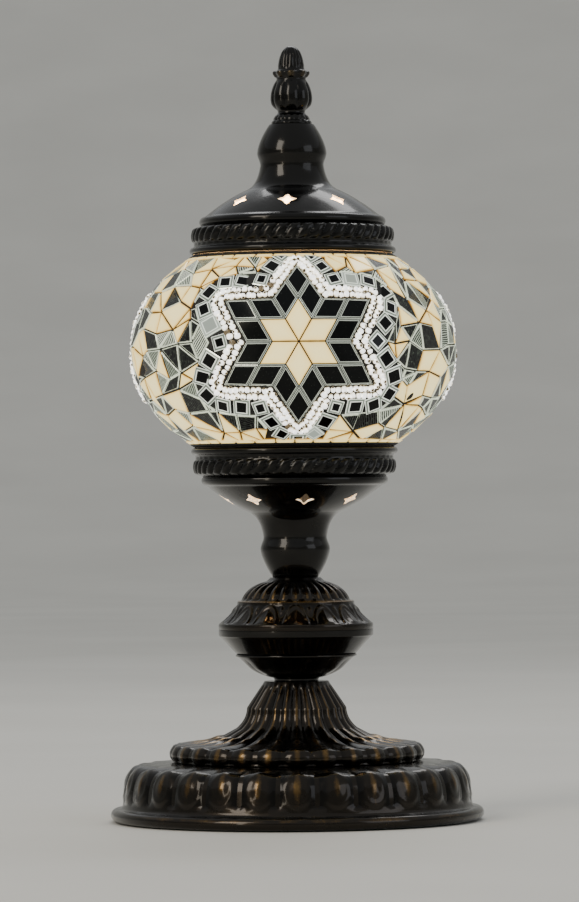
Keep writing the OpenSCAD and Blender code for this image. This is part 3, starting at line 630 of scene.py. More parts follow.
@dataclass(frozen=True)
class PressedFelt(Finish):
    """Dark green wool felt, pressed: matted fibres with a soft sheen."""

    def dress(
        self, tree: bpy.types.NodeTree, shader: bpy.types.Node, place: bpy.types.NodeSocket
    ) -> None:
        """Fibres 0.4 mm across over clumps 4 mm across, with fuzz at grazing angles."""
        fibre = add(
            tree, "ShaderNodeTexNoise", {"Scale": 2400.0, "Detail": 4.0, "Distortion": 1.5}, {"Vector": place}
        ).outputs["Fac"]
        clump = add(tree, "ShaderNodeTexNoise", {"Scale": 240.0, "Detail": 3.0}, {"Vector": place}).outputs["Fac"]
        both = add(
            tree, "ShaderNodeMath", {"operation": "MULTIPLY_ADD", 1: 0.5}, {0: clump, 2: fibre}
        ).outputs[0]
        colour = ramp(tree, both, [(0.45, "0b1a12"), (1.0, "22402e")])
        tree.links.new(colour, shader.inputs["Base Color"])
        bump = add(tree, "ShaderNodeBump", {"Strength": 0.8, "Distance": 0.0004}, {"Height": both})
        tree.links.new(bump.outputs["Normal"], shader.inputs["Normal"])
        shader.inputs["Roughness"].default_value = 0.95
        shader.inputs["Sheen Weight"].default_value = 0.4


# ---------------------------------------------------------------- surface helpers


def arc(centre: Sequence[float], radius: float, first: float, last: float, steps: int) -> Array:
    """Points on an arc.

    Args:
        centre: Its centre, (radius from the axis, height).
        radius: Its radius.
        first: First angle in degrees.
        last: Last angle in degrees.
        steps: Steps between points.

    Returns:
        centre + radius (cos a, sin a) for evenly spaced angles a.
    """
    a = np.radians(np.linspace(first, last, steps + 1))
    return np.stack([centre[0] + radius * np.cos(a), centre[1] + radius * np.sin(a)], axis=1)


def curve(start: Sequence[float], pull: Sequence[float], end: Sequence[float], steps: int) -> Array:
    """Points on a curve from start to end that is pulled towards a third point.

    Returns:
        (1-t)^2 start + 2t(1-t) pull + t^2 end for evenly spaced t.
    """
    t = np.linspace(0, 1, steps + 1)[:, None]
    p, q, r = (np.asarray(v, float)[None] for v in (start, pull, end))
    return (1 - t) ** 2 * p + 2 * t * (1 - t) * q + t * t * r


def through(points: Sequence[Sequence[float]], steps: int) -> Array:
    """A smooth line through points.

    Args:
        points: The points it passes.
        steps: Steps between neighbours.

    Returns:
        Cubic pieces whose slope at each point is half the step between its two neighbours.
    """
    p = np.asarray(points, float)
    pad = np.vstack([2 * p[0] - p[1], p, 2 * p[-1] - p[-2]])
    t = (np.arange(steps) / steps)[None, :, None]
    a, b, c, d = (pad[k : k + len(p) - 1, None] for k in range(4))
    body = 0.5 * (2 * b + (c - a) * t + (2 * a - 5 * b + 4 * c - d) * t**2 + (3 * b - a - 3 * c + d) * t**3)
    return np.vstack([body.reshape(-1, 2), p[-1:]])


def rise(x: Array, low: float, high: float) -> Array:
    """Smooth rise from 0 at low to 1 at high: 3t^2 - 2t^3 of the clipped share t."""
    t = np.clip((x - low) / (high - low), 0.0, 1.0)
    return t * t * (3 - 2 * t)


def band(x: Array, low: float, high: float, soft: float) -> Array:
    """1 between low and high, falling smoothly to 0 over soft on each side."""
    return rise(x, low - soft, low + soft) * (1 - rise(x, high - soft, high + soft))


def lobes(theta: Array, count: int, crest: float = FRONT) -> Array:
    """Round lobes with sharp grooves: |cos(count/2 (theta - crest))|."""
    return np.abs(np.cos(count / 2 * (theta - crest)))


def outward(outline: Array) -> Array:
    """Unit vectors a quarter turn clockwise from the outline's direction at each point."""
    on = np.gradient(outline, axis=0)
    on = on / np.maximum(np.linalg.norm(on, axis=1, keepdims=True), 1e-9)
    return np.stack([on[:, 1], -on[:, 0]], axis=1)


def grid(rows: int, columns: int, closed_rows: bool = False, closed_columns: bool = True) -> Array:
    """Four-sided faces of a grid of points that are numbered row by row.

    Returns:
        One row of four point numbers for each face.
    """
    i, j = np.meshgrid(
        np.arange(rows if closed_rows else rows - 1),
        np.arange(columns if closed_columns else columns - 1),
        indexing="ij",
    )
    i, j = i.ravel(), j.ravel()
    up, on = (i + 1) % rows, (j + 1) % columns
    return np.stack([i * columns + j, i * columns + on, up * columns + on, up * columns + j], axis=1)


@dataclass
class Shape:
    """Points in millimetres, faces, marks on points and a flat map of one piece."""

    points: Array
    quads: Array = field(default_factory=lambda: np.zeros((0, 4), int))
    tris: Array = field(default_factory=lambda: np.zeros((0, 3), int))
    marks: dict[str, Array] = field(default_factory=dict)
    flat: Array | None = None
    inside: Array | None = None

    def flipped(self) -> "Shape":
        """The same shape with every face turned round."""
        return Shape(
            self.points, self.quads[:, ::-1], self.tris[:, ::-1], self.marks, self.flat, self.inside
        )


def joined(shapes: Sequence[Shape]) -> Shape:
    """One shape that holds all the given ones, which have the same marks."""
    starts = np.cumsum([0] + [len(s.points) for s in shapes[:-1]])
    return Shape(
        np.vstack([s.points for s in shapes]),
        np.vstack([s.quads + a for s, a in zip(shapes, starts)]),
        np.vstack([s.tris + a for s, a in zip(shapes, starts)]),
        {key: np.concatenate([s.marks[key] for s in shapes]) for key in shapes[0].marks},
        None if shapes[0].flat is None else np.vstack([s.flat for s in shapes]),
    )


def make_piece(
    name: str,
    shape: Shape,
    materials: Sequence[bpy.types.Material],
    body: Body,
    stands_for: str | None = None,
    sharp: float = 38.0,
) -> bpy.types.Object:
    """Puts a shape into a mesh object and ties it to the frame.

    Args:
        name: The piece's name.
        shape: Its points and faces; faces listed in inside take the second material.
        materials: Its finishes.
        body: The body that it rides on.
        stands_for: The CAD node that it replaces.
        sharp: Edges that bend more than this many degrees stay sharp.

    Returns:
        The new object.
    """
    mesh = bpy.data.meshes.new(name)
    corners = np.concatenate([shape.quads.ravel(), shape.tris.ravel()]).astype(np.int32)
    sizes = np.concatenate([np.full(len(shape.quads), 4), np.full(len(shape.tris), 3)])
    starts = np.concatenate([[0], np.cumsum(sizes)[:-1]]).astype(np.int32)
    mesh.vertices.add(len(shape.points))
    mesh.loops.add(len(corners))
    mesh.polygons.add(len(sizes))
    mesh.vertices.foreach_set("co", (shape.points * MM).astype(np.float32).ravel())
    mesh.polygons.foreach_set("loop_start", starts)
    mesh.loops.foreach_set("vertex_index", corners)
    for key, values in shape.marks.items():
        mesh.attributes.new(key, "FLOAT", "POINT").data.foreach_set("value", values.astype(np.float32))
    if shape.flat is not None:
        layer = mesh.uv_layers.new(name="cut")
        layer.data.foreach_set("uv", shape.flat[corners].astype(np.float32).ravel())
    for material in materials:
        mesh.materials.append(material)
    if shape.inside is not None and len(materials) > 1:
        mesh.polygons.foreach_set("material_index", shape.inside.astype(np.int32))
    mesh.update(calc_edges=True)
    work = bmesh.new()
    work.from_mesh(mesh)
    bmesh.ops.remove_doubles(work, verts=work.verts, dist=2e-7)
    work.to_mesh(mesh)
    work.free()
    mesh.polygons.foreach_set("use_smooth", np.ones(len(mesh.polygons), bool))
    mesh.set_sharp_from_angle(angle=math.radians(sharp))
    piece = bpy.data.objects.new(name, mesh)
    bpy.context.scene.collection.objects.link(piece)
    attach(piece, body.value)
    if stands_for:
        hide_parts(stands_for)
    log.info("%s: %d points, %d faces", name, len(mesh.vertices), len(mesh.polygons))
    return piece


# ---------------------------------------------------------------- turned metal


@dataclass
class TurnedSheet:
    """A sheet of even thickness turned about the lamp's axis, with relief raised on its outside."""

    columns: int = 448
    sheet: float = 1.1
    first: float = FRONT

    def outline(self) -> Array:
        """Outside of the sheet, (radius, height), with the outside on the right of its direction."""
        raise NotImplementedError

    def relief(self, theta: Array, r: Array, z: Array) -> tuple[Array, Array]:
        """How far the outside is raised along its normal, and its crest mark, 0 to 1, which is partly plate rubbing and
        partly painted highlight.

        Args:
            theta: Angles, one row.
            r: Radii of the outline, one column.
            z: Heights of the outline, one column.

        Returns:
            Two arrays of rows by columns.
        """
        raise NotImplementedError

    def settle(self, points: Array, inner: bool) -> Array:
        """A last change to the points of one side, none as a rule."""
        return points

    def holes(self, outline: Array) -> list[tuple[int, int, int, int, Any]]:
        """Holes as (row, column, rows each way, columns each way, reach by direction)."""
        return []

    def surfaces(self, outline: Array, rows: Array, turns: Array) -> tuple[Array, Array, Array]:
        """Points of both sides at fractional rows and columns.

        Args:
            outline: The outside outline.
            rows: Fractional row numbers.
            turns: Fractional column numbers, of the same shape.

        Returns:
            Outer points, crest marks of plate rubbing and painted highlight, and inner points. The inner side lies one
            sheet thickness back along the outline's normal, without the relief.
        """
        at = np.arange(len(outline))
        away = outward(outline)
        r, z = (np.interp(rows, at, outline[:, k]) for k in (0, 1))
        nr, nz = (np.interp(rows, at, away[:, k]) for k in (0, 1))
        theta = self.first + 2 * math.pi * turns / self.columns
        lift, wear_and_highlight = self.relief(theta, r, z)
        sides = []
        for move in (lift, -self.sheet):
            rr = np.maximum(r + move * nr, 0.0)
            sides.append(np.stack([rr * np.cos(theta), rr * np.sin(theta), z + move * nz], axis=-1))
        outer = self.settle(sides[0].reshape(-1, 3), False)
        inner = self.settle(sides[1].reshape(-1, 3), True)
        return outer, np.broadcast_to(wear_and_highlight, r.shape).ravel(), inner

    def shape(self) -> Shape:
        """Both sides as grids, joined along their rims and round every hole."""
        outline = self.outline()
        count, columns = len(outline), self.columns
        rows, turns = np.meshgrid(np.arange(count, dtype=float), np.arange(columns, dtype=float), indexing="ij")
        outer, wear_and_highlight, inner = self.surfaces(outline, rows, turns)
        faces = grid(count, columns)
        keep = np.ones(len(faces), bool)
        patches: list[tuple[Array, Array, Array, Array]] = []
        total = 2 * count * columns
        extra_points: list[Array] = []
        extra_wear_and_highlight: list[Array] = []
        outer_quads: list[Array] = []
        inner_quads: list[Array] = []
        wall_quads: list[Array] = []
        for row, column, high, wide, reach in self.holes(outline):
            i, j = faces[:, 0] // columns, faces[:, 0] % columns
            near = (j - column + columns // 2) % columns - columns // 2
            keep &= ~((i >= row - high) & (i < row + high) & (near >= -wide) & (near < wide))
            steps_w, steps_h = np.arange(-wide, wide), np.arange(-high, high)
            edge_i = np.concatenate([np.full(2 * wide, -high), steps_h, np.full(2 * wide, high), -steps_h])
            edge_j = np.concatenate([steps_w, np.full(2 * high, wide), -steps_w, np.full(2 * high, -wide)])
            ring = (row + edge_i) * columns + (column + edge_j) % columns
            here = outline[row]
            across = 2 * math.pi * here[0] / columns
            along = np.linalg.norm(np.gradient(outline, axis=0)[row])
            x, y = edge_j * across, edge_i * along
            far = reach(np.arctan2(y, x))
            flat = np.hypot(x, y)
            hole_i, hole_j = y / flat * far / along, x / flat * far / across
            share = np.array([0.4, 0.75, 1.0])[:, None]
            patch_rows = row + edge_i + (hole_i - edge_i) * share
            patch_turns = column + edge_j + (hole_j - edge_j) * share
            top, rubbed_and_highlit, back = self.surfaces(outline, patch_rows, patch_turns)
            n = len(ring)
            start = total + sum(len(p) for p in extra_points)
            extra_points += [top, back]
            extra_wear_and_highlight += [rubbed_and_highlit, np.full(len(back), 0.3)]
            layers = [ring] + [start + k * n + np.arange(n) for k in range(3)]
            under = [ring + count * columns] + [start + (3 + k) * n + np.arange(n) for k in range(3)]
            for a, b in zip(layers, layers[1:]):
                outer_quads.append(np.stack([a, np.roll(a, -1), np.roll(b, -1), b], axis=1))
            for a, b in zip(under, under[1:]):
                inner_quads.append(np.stack([a, b, np.roll(b, -1), np.roll(a, -1)], axis=1))
            a, b = layers[-1], under[-1]
            wall_quads.append(np.stack([a, np.roll(a, -1), np.roll(b, -1), b], axis=1))
        low = np.arange(columns)
        high_row = low + (count - 1) * columns
        on = np.roll(low, -1)
        half = count * columns
        rims = np.vstack(
            [
                np.stack([on, low, low + half, on + half], axis=1),
                np.stack([high_row, np.roll(high_row, -1), np.roll(high_row, -1) + half, high_row + half], axis=1),
            ]
        )
        front = np.vstack([faces[keep], *outer_quads, rims])
        back_faces = np.vstack([faces[keep][:, ::-1] + half, *inner_quads])
        walls = np.vstack(wall_quads) if wall_quads else np.zeros((0, 4), int)
        return Shape(
            np.vstack([outer, inner, *extra_points]),
            np.vstack([front, back_faces, walls]),
            marks={"wear_and_highlight": np.concatenate([wear_and_highlight, np.full(len(inner), 0.3), *extra_wear_and_highlight])},
            inside=np.concatenate([np.zeros(len(front)), np.ones(len(back_faces) + len(walls))]),
        )


@dataclass
class BaseFoot(TurnedSheet):
    """The pressed foot: a rolled ring at the floor and a dome with fat gadroons."""

    ring_r: float = 91.2
    roll: float = 3.0
    lift: float = 0.6
    dome_r: float = 85.5
    top: float = 29.0
    bore: float = 5.2
    inner_r: float = 86.0
    lobe_count: int = 28
    lobe_depth: float = 1.5
    gland_y: float = 84.0
    gland_z: float = 15.0
    flange: float = 7.2

    def outline(self) -> Array:
        """Roll, step and dome as an arc and two pulled curves."""
        roll_top = self.lift + 2 * self.roll
        return np.vstack(
            [
                [[self.inner_r, self.lift]],
                arc((self.ring_r - self.roll, self.lift + self.roll), self.roll, -90, 90, 18),
                curve(
                    (self.ring_r - self.roll - 0.6, roll_top + 0.1),
                    (self.dome_r + 0.1, roll_top + 0.1),
                    (self.dome_r - 0.2, roll_top + 2.4),
                    6,
                ),
                curve(
                    (self.dome_r - 0.3, roll_top + 3.2),
                    (self.dome_r - 0.6, self.top - 2.0),
                    (self.dome_r - 9, self.top - 1.4),
                    26,
                ),
                curve((self.dome_r - 10, self.top - 1.3), (70, self.top - 0.6), (64.7, self.top), 6),
                [[40.0, self.top], [self.bore, self.top]],
            ]
        )

    def relief(self, theta: Array, r: Array, z: Array) -> tuple[Array, Array]:
        """Gadroons that fade over the shoulder, each with a drop-shaped boss and a fine vein.

        The groove depth times (1 - |cos|) is cut away, and the boss is a bell curve of height
        0.5 mm across each lobe's middle.
        """
        lobe = lobes(theta, self.lobe_count)
        on = rise(z, 9.0, 12.0) * rise(r, 68.0, 80.0)
        u = np.arcsin(np.sin(self.lobe_count / 2 * (theta - FRONT))) / (math.pi / 2)
        boss = 0.55 * np.exp(-((u / 0.33) ** 2) - ((z - 21.0) / 4.6) ** 2)
        rim = 0.35 * np.exp(-(((np.hypot(u / 0.62, (z - 19.5) / 7.5) - 1) / 0.16) ** 2))
        lift = on * (-self.lobe_depth * (1 - lobe**0.8) + boss + rim)
        # crest mark on gadroons and bosses: partly plate rubbing, partly painted highlight
        wear_and_highlight = 0.4 + on * (0.62 * lobe**3 - 0.4 + 0.25 * boss / 0.55 * 0.5)
        # painted highlight along the rolled ring at the floor
        ring = np.exp(-(((z - 5.2) / 1.6) ** 2)) * (r > 86)
        return lift, np.clip(wear_and_highlight + 0.25 * ring, 0, 1)

    def settle(self, points: Array, inner: bool) -> Array:
        """Presses the flat at the back that the cord gland clamps."""
        x, y, z = points.T
        face = self.gland_y - (self.sheet if inner else 0.0)
        away = np.maximum(np.hypot(x, z - self.gland_z) - self.flange, 0.0)
        pressed = np.where(y > 60, np.minimum(y, face + 1.6 * away), y)
        return np.stack([x, pressed, z], axis=1)

    def holes(self, outline: Array) -> list[tuple[int, int, int, int, Any]]:
        """One round hole for the gland at the back."""
        row = int(np.argmin(np.abs(outline[:, 1] - self.gland_z) + 10 * (outline[:, 0] < 80)))
        along = np.linalg.norm(np.gradient(outline, axis=0)[row])
        return [(row, self.columns // 2, math.ceil(6.2 / along), 6, lambda a: np.full_like(a, 5.2))]


@dataclass
class FlutedBell(TurnedSheet):
    """The pressed bell on the foot: a scalloped tier and a flared, ribbed cone."""

    low: float = 29.0
    high: float = 68.2
    tier: float = 8.6
    reach: float = 62.7
    neck: float = 16.5
    bore: float = 5.2
    lobe_count: int = 28

    def outline(self) -> Array:
        """Tier side, tier top and cone as pulled curves."""
        top = self.low + self.tier
        cone = (self.reach * 0.47, top + 7.8)
        return np.vstack(
            [
                [[self.reach - 3.4, self.low]],
                curve(
                    (self.reach - 2.2, self.low + 0.3),
                    (self.reach + 1.7, self.low + self.tier * 0.45),
                    (self.reach - 2.4, top - 0.3),
                    16,
                ),
                curve(
                    (self.reach - 3.4, top + 0.2), (self.reach * 0.72, top + 0.7), (self.reach * 0.57, top + 4.4), 16
                ),
                curve(cone, (cone[0] - 5, top + 12), (self.neck + 7.8, self.high - 13), 12),
                curve((self.neck + 7.3, self.high - 12.2), (self.neck + 3.6, self.high - 6.6), (self.neck, self.high - 1.4), 14),
                [[self.neck - 0.8, self.high], [10.0, self.high], [self.bore, self.high]],
            ]
        )

    def relief(self, theta: Array, r: Array, z: Array) -> tuple[Array, Array]:
        """Lobes whose depth follows the radius, beads where the cone lands, slim ribs above."""
        lobe = lobes(theta, self.lobe_count)
        on = (1 - rise(z, self.high - 3.5, self.high - 1.0)) * rise(z, self.low, self.low + 0.8)
        depth = np.interp(r, [16, 24, 34, 48, 60], [0.7, 1.3, 1.7, 1.2, 1.6])
        bead = np.exp(-(((r - 40.0) / 2.6) ** 2)) * lobe**6
        rim = np.exp(-(((r - 55.0) / 1.8) ** 2)) * (z > self.low + 6)
        vein = np.exp(-((np.sin(self.lobe_count / 2 * (theta - FRONT)) / 0.16) ** 2)) * band(r, 42.5, 54, 1.5)
        lift = on * (-depth * (1 - lobe**0.85) + 0.8 * bead + 0.3 * rim * lobe + 0.3 * vein)
        # crest mark on lobes, beads and veins: partly plate rubbing, partly painted highlight
        wear_and_highlight = 0.12 + 0.62 * lobe**3 + 0.3 * bead + 0.2 * vein
        return lift, np.clip(np.where(on > 0.1, wear_and_highlight, 0.4), 0, 1)


@dataclass
class KnobBowl(TurnedSheet):
    """The smooth lower half of the knob, with one fine ridge."""

    columns: int = 256
    low: float = 68.2
    high: float = 93.4
    reach: float = 37.8
    foot: float = 10.9
    bore: float = 5.2

    def outline(self) -> Array:
        """Foot, bowl, ridge and band."""
        k, z = self.reach, self.low
        return np.vstack(
            [
                [[self.bore, z], [self.foot - 0.4, z], [self.foot, z + 0.4], [self.foot, z + 1.2]],
                curve((self.foot + 0.4, z + 1.6), (k * 0.5, z + 3), (k * 0.61, z + 6.6), 12),
                curve((k * 0.62, z + 7), (k * 0.7, z + 10), (k * 0.76, z + 12), 8),
                arc((k * 0.76 + 0.2, z + 12.6), 0.7, -60, 110, 8),
                curve((k * 0.78, z + 13.6), (k * 0.88, self.high - 7.4), (k - 0.8, self.high - 3.4), 14),
                [[k - 0.15, self.high - 3.0], [k, self.high - 2.5], [k, self.high]],
            ]
        )

    def relief(self, theta: Array, r: Array, z: Array) -> tuple[Array, Array]:
        """No relief but 14 very shallow pressed petals, with painted highlight, partly plate rubbing, at the ridge and
        band.
        """
        petal = lobes(theta, 14)
        on = band(z, self.low + 3, self.low + 10.5, 1.5)
        # painted highlight on the ridge and the band, partly plate rubbing
        rubbed_and_highlit = 0.34 + 0.3 * np.exp(-(((z - self.low - 12.8) / 0.8) ** 2)) + 0.2 * rise(z, self.high - 3, self.high - 2)
        return -0.35 * on * (1 - petal**0.8), np.clip(rubbed_and_highlit + 0.15 * on * petal**2 + 0 * theta, 0, 1)


@dataclass
class KnobCover(TurnedSheet):
    """The upper half of the knob: a band, a flange of arched petals, a ledge and a ribbed dome."""

    low: float = 93.4
    high: float = 118.8
    reach: float = 37.8
    ledge: float = 28.5
    bore: float = 5.2
    petal_count: int = 14
    rib_count: int = 28

    def outline(self) -> Array:
        """Band, flange, ledge and dome."""
        k, step = self.reach, self.low + (self.high - self.low) * 0.55
        return np.vstack(
            [
                [[k - 0.2, self.low], [k, self.low + 0.3], [k, self.low + 2.4], [k - 0.15, self.low + 2.9]],
                curve((k - 0.7, self.low + 3.3), (self.ledge + 3, self.low + 7), (self.ledge + 0.2, step - 0.8), 24),
                [[self.ledge, step - 0.2], [self.ledge - 0.6, step + 0.1], [self.ledge - 1.6, step]],
                curve((self.ledge - 2, step + 0.5), (self.ledge - 4.6, self.high - 4), (self.ledge / 2, self.high - 1.8), 22),
                [[self.ledge / 2 - 1, self.high - 0.9], [self.ledge / 2 - 2, self.high], [self.bore, self.high]],
            ]
        )

    def relief(self, theta: Array, r: Array, z: Array) -> tuple[Array, Array]:
        """Raised arches on the flange, a drop between two of them, and ribs on the dome.

        An arch is the line where (u/0.74)^2 + (v/0.88)^2 = 1, u the share across a petal and v the
        share up the flange; the border is a bell curve across that line.
        """
        step = self.low + (self.high - self.low) * 0.55
        u = np.arcsin(np.sin(self.petal_count / 2 * (theta - FRONT))) / (math.pi / 2)
        v = (z - self.low - 3.2) / (step - self.low - 4.2)
        on = band(z, self.low + 3.6, step - 1.0, 0.5)
        arch = np.hypot(u / 0.74, v / 0.88)
        border = np.exp(-(((arch - 1) / 0.11) ** 2))
        leaf = np.clip(1 - arch**2, 0, 1)
        vein = np.exp(-((u / 0.07) ** 2)) * (arch < 0.8) * rise(v, 0.02, 0.2)
        drop = np.exp(-((np.abs(u) - 1) / 0.16) ** 2 - ((v - 0.66) / 0.2) ** 2)
        flange = on * (0.6 * border + 0.9 * leaf + 0.25 * vein + 0.75 * drop - 0.5)
        rib = lobes(theta, self.rib_count)
        dome = band(z, step + 1.0, self.high - 2.2, 0.6)
        lift = flange - 0.95 * dome * (1 - rib**0.85)
        # crest mark on arches, drops and ribs: partly plate rubbing, partly painted highlight
        wear_and_highlight = 0.4 + on * (0.6 * border + 0.35 * leaf + 0.5 * drop - 0.35) + dome * (0.65 * rib**3 - 0.3)
        # painted highlight along the ledge
        wear_and_highlight = wear_and_highlight + 0.5 * np.exp(-(((z - step) / 0.5) ** 2))
        return lift, np.clip(wear_and_highlight, 0, 1)


@dataclass
class PiercedShell(TurnedSheet):
    """The spun shell of the cup and the cap, with slanted gadroons and eight pierced stars."""

    columns: int = 400
    sheet: float = 1.0
    rim_at: float = 276.72
    upward: bool = True
    turn: float = -4.2
    rim: float = 50.5
    waist: float = 15.5
    height: float = 63.5
    bore: float = 5.2
    ridge_count: int = 50
    star: float = 4.7

    def __post_init__(self) -> None:
        """Starts the columns at a star, so that every star lies on a column."""
        self.first = FRONT + math.radians(self.turn)

    def outline(self) -> Array:
        """Lip bead, groove, band, shoulder bead, dome, flare, bulge and taper, by distance from the rim."""
        rim, waist, h = self.rim, self.waist, self.height
        i = np.linspace(0, 4, 13)[1:]
        bulge = np.stack([waist + 0.75 * (1 - np.cos(np.radians(45 * i))), h - 19.9 + 1.5 * i], axis=1)
        t = np.linspace(0, 1, 15)[1:]
        taper = np.stack([waist + 1.5 - 6 * t**1.6, h - 13.9 + 13.9 * t], axis=1)
        return np.vstack(
            [
                [[rim - 1.9, 0]],
                arc((rim - 1.7, 1.7), 1.7, -86, 88, 12),
                curve((rim - 1.9, 3.7), (rim - 2.8, 4.8), (rim - 2.0, 5.9), 6),
                curve((rim - 1.8, 6.2), (rim - 0.4, 9.4), (rim - 2.2, 12.8), 16),
                arc((rim - 7.4, 15.9), 2.5, -50, 74, 12),
                curve((rim - 7.5, 18.5), (rim - 19.2, h - 35.6), (waist + 6.5, h - 31.8), 26),
                curve((waist + 5.9, h - 31.4), (waist + 1.5, h - 29), (waist, h - 19.9), 14),
                bulge,
                taper,
                [[self.bore, h]],
            ]
        )

    def relief(self, theta: Array, r: Array, z: Array) -> tuple[Array, Array]:
        """Rope-like gadroons in the band: |cos| of the turn less the climb, which leans them 58 degrees."""
        climb = (z if self.upward else -z) / math.tan(math.radians(58)) / (self.rim - 1.5)
        lobe = lobes(theta - climb, self.ridge_count)
        on = band(z, 6.3, 12.4, 0.45)
        pearl = np.exp(-(((z - 4.9) / 0.55) ** 2)) * lobes(theta, self.ridge_count) ** 2
        lift = on * (1.25 * lobe**0.8 - 0.8) + 0.25 * pearl
        # painted highlight along the lip's edge and on the pearls; gadroon crests partly plate rubbing, partly painted
        # highlight
        edge = np.exp(-(((z - 1.7) / 1.2) ** 2)) * (r > self.rim - 2)
        wear_and_highlight = 0.42 + on * (0.5 * lobe**3 - 0.42) + 0.2 * pearl + 0.12 * edge
        return lift, np.clip(wear_and_highlight, 0, 1)

    def holes(self, outline: Array) -> list[tuple[int, int, int, int, Any]]:
        """Eight four-pointed stars, a little rounder up and down than across."""
        row = int(np.argmin(np.abs(outline[:, 1] - 25.7) + 10 * (outline[:, 0] < 25)))
        along = np.linalg.norm(np.gradient(outline, axis=0)[row])

        def reach(a: Array) -> Array:
            """Star size over 1 + 0.78 |sin 2a|^q, with q from 0.95 across to 1.55 up and down."""
            return self.star / (1 + 0.78 * np.abs(np.sin(2 * a)) ** (1.25 - 0.3 * np.cos(2 * a)))

        high = math.ceil((self.star + 0.9) / along)
        wide = math.ceil((self.star + 0.9) / (2 * math.pi * outline[row, 0] / self.columns))
        return [(row, k * self.columns // 8, high, wide, reach) for k in range(8)]

    def settle(self, points: Array, inner: bool) -> Array:
        """Puts the shell at its height, the right way up."""
        points = points.copy()
        points[:, 2] = self.rim_at + (points[:, 2] if self.upward else -points[:, 2])
        return points

    def shape(self) -> Shape:
        """The sheet, with its faces turned round where it hangs upside down."""
        whole = super().shape()
        return whole if self.upward else whole.flipped()


@dataclass
class AcornFinial:
    """The cast finial: a ringed foot, a leafed bulb, a collar of leaf tips and an acorn."""

    low: float = 340.22
    columns: int = 192
    leaf_count: int = 8

    def outline(self) -> Array:
        """A short stem below and the turned body, as one smooth line through its widths."""
        body = through(
            [(9.7, 0), (9.95, 0.7), (9.5, 1.7), (8.9, 2.2), (8.8, 3.0), (8.1, 4.2), (7.1, 5.2), (6.65, 6.0),
             (6.95, 6.9), (8.2, 8.0), (9.45, 9.6), (10.0, 11.6), (10.05, 13.6), (9.75, 15.8), (9.1, 18.0),
             (8.2, 20.2), (7.35, 21.7), (7.2, 22.6), (7.9, 23.8), (8.6, 25.0), (8.4, 25.9), (6.9, 26.6),
             (6.45, 27.6), (6.3, 29.2), (5.95, 31.4), (5.3, 33.8), (4.3, 36.0), (2.7, 37.7), (1.1, 38.4), (0, 38.6)],
            4,
        )
        stem = np.array([[0, -6.0], [4.6, -6.0], [5.0, -5.6], [5.0, 0]])
        line = np.vstack([stem, body])
        return np.stack([np.maximum(line[:, 0], 0), line[:, 1] + self.low], axis=1)

    def shape(self) -> Shape:
        """The outline turned, with leaf ribs raised by |cos| and tips on the collar."""
        line = self.outline()
        theta = FRONT + 2 * math.pi * np.arange(self.columns)[None] / self.columns
        r, z = line[:, :1], line[:, 1:]
        h = z - self.low
        away = outward(line)
        leaf = lobes(theta, self.leaf_count)
        half = lobes(theta, 2 * self.leaf_count)
        bulb = band(h, 8.5, 20.5, 1.5) * (r > 6)
        collar = band(h, 23.2, 26.2, 0.5)
        acorn = band(h, 28.0, 36.5, 1.2)
        foot = band(h, 0.6, 4.4, 0.5) * (r > 6)
        lift = bulb * (0.15 - 0.95 * (1 - leaf**0.7)) + collar * (0.9 * leaf**2 - 0.45)
        lift = lift - acorn * 0.3 * (1 - half) - foot * 0.35 * (1 - half)
        lift = np.where(r > 0.5, lift, 0.0)
        # crest mark on leaf ribs, collar tips and acorn: partly plate rubbing, partly painted highlight
        wear_and_highlight = 0.36 + bulb * (0.5 * leaf**3 - 0.25) + collar * 0.4 * leaf + acorn * (0.2 * half) + foot * 0.25 * half
        rr = np.maximum(r + lift * away[:, :1], 0.0)
        zz = np.minimum(z + lift * away[:, 1:], self.low + 38.6)
        points = np.stack([rr * np.cos(theta), rr * np.sin(theta), zz + 0 * theta], axis=-1).reshape(-1, 3)
        return Shape(
            points,
            grid(len(line), self.columns),
            marks={"wear_and_highlight": np.clip(wear_and_highlight, 0, 1).ravel()},
        )


# ---------------------------------------------------------------- globe and mosaic


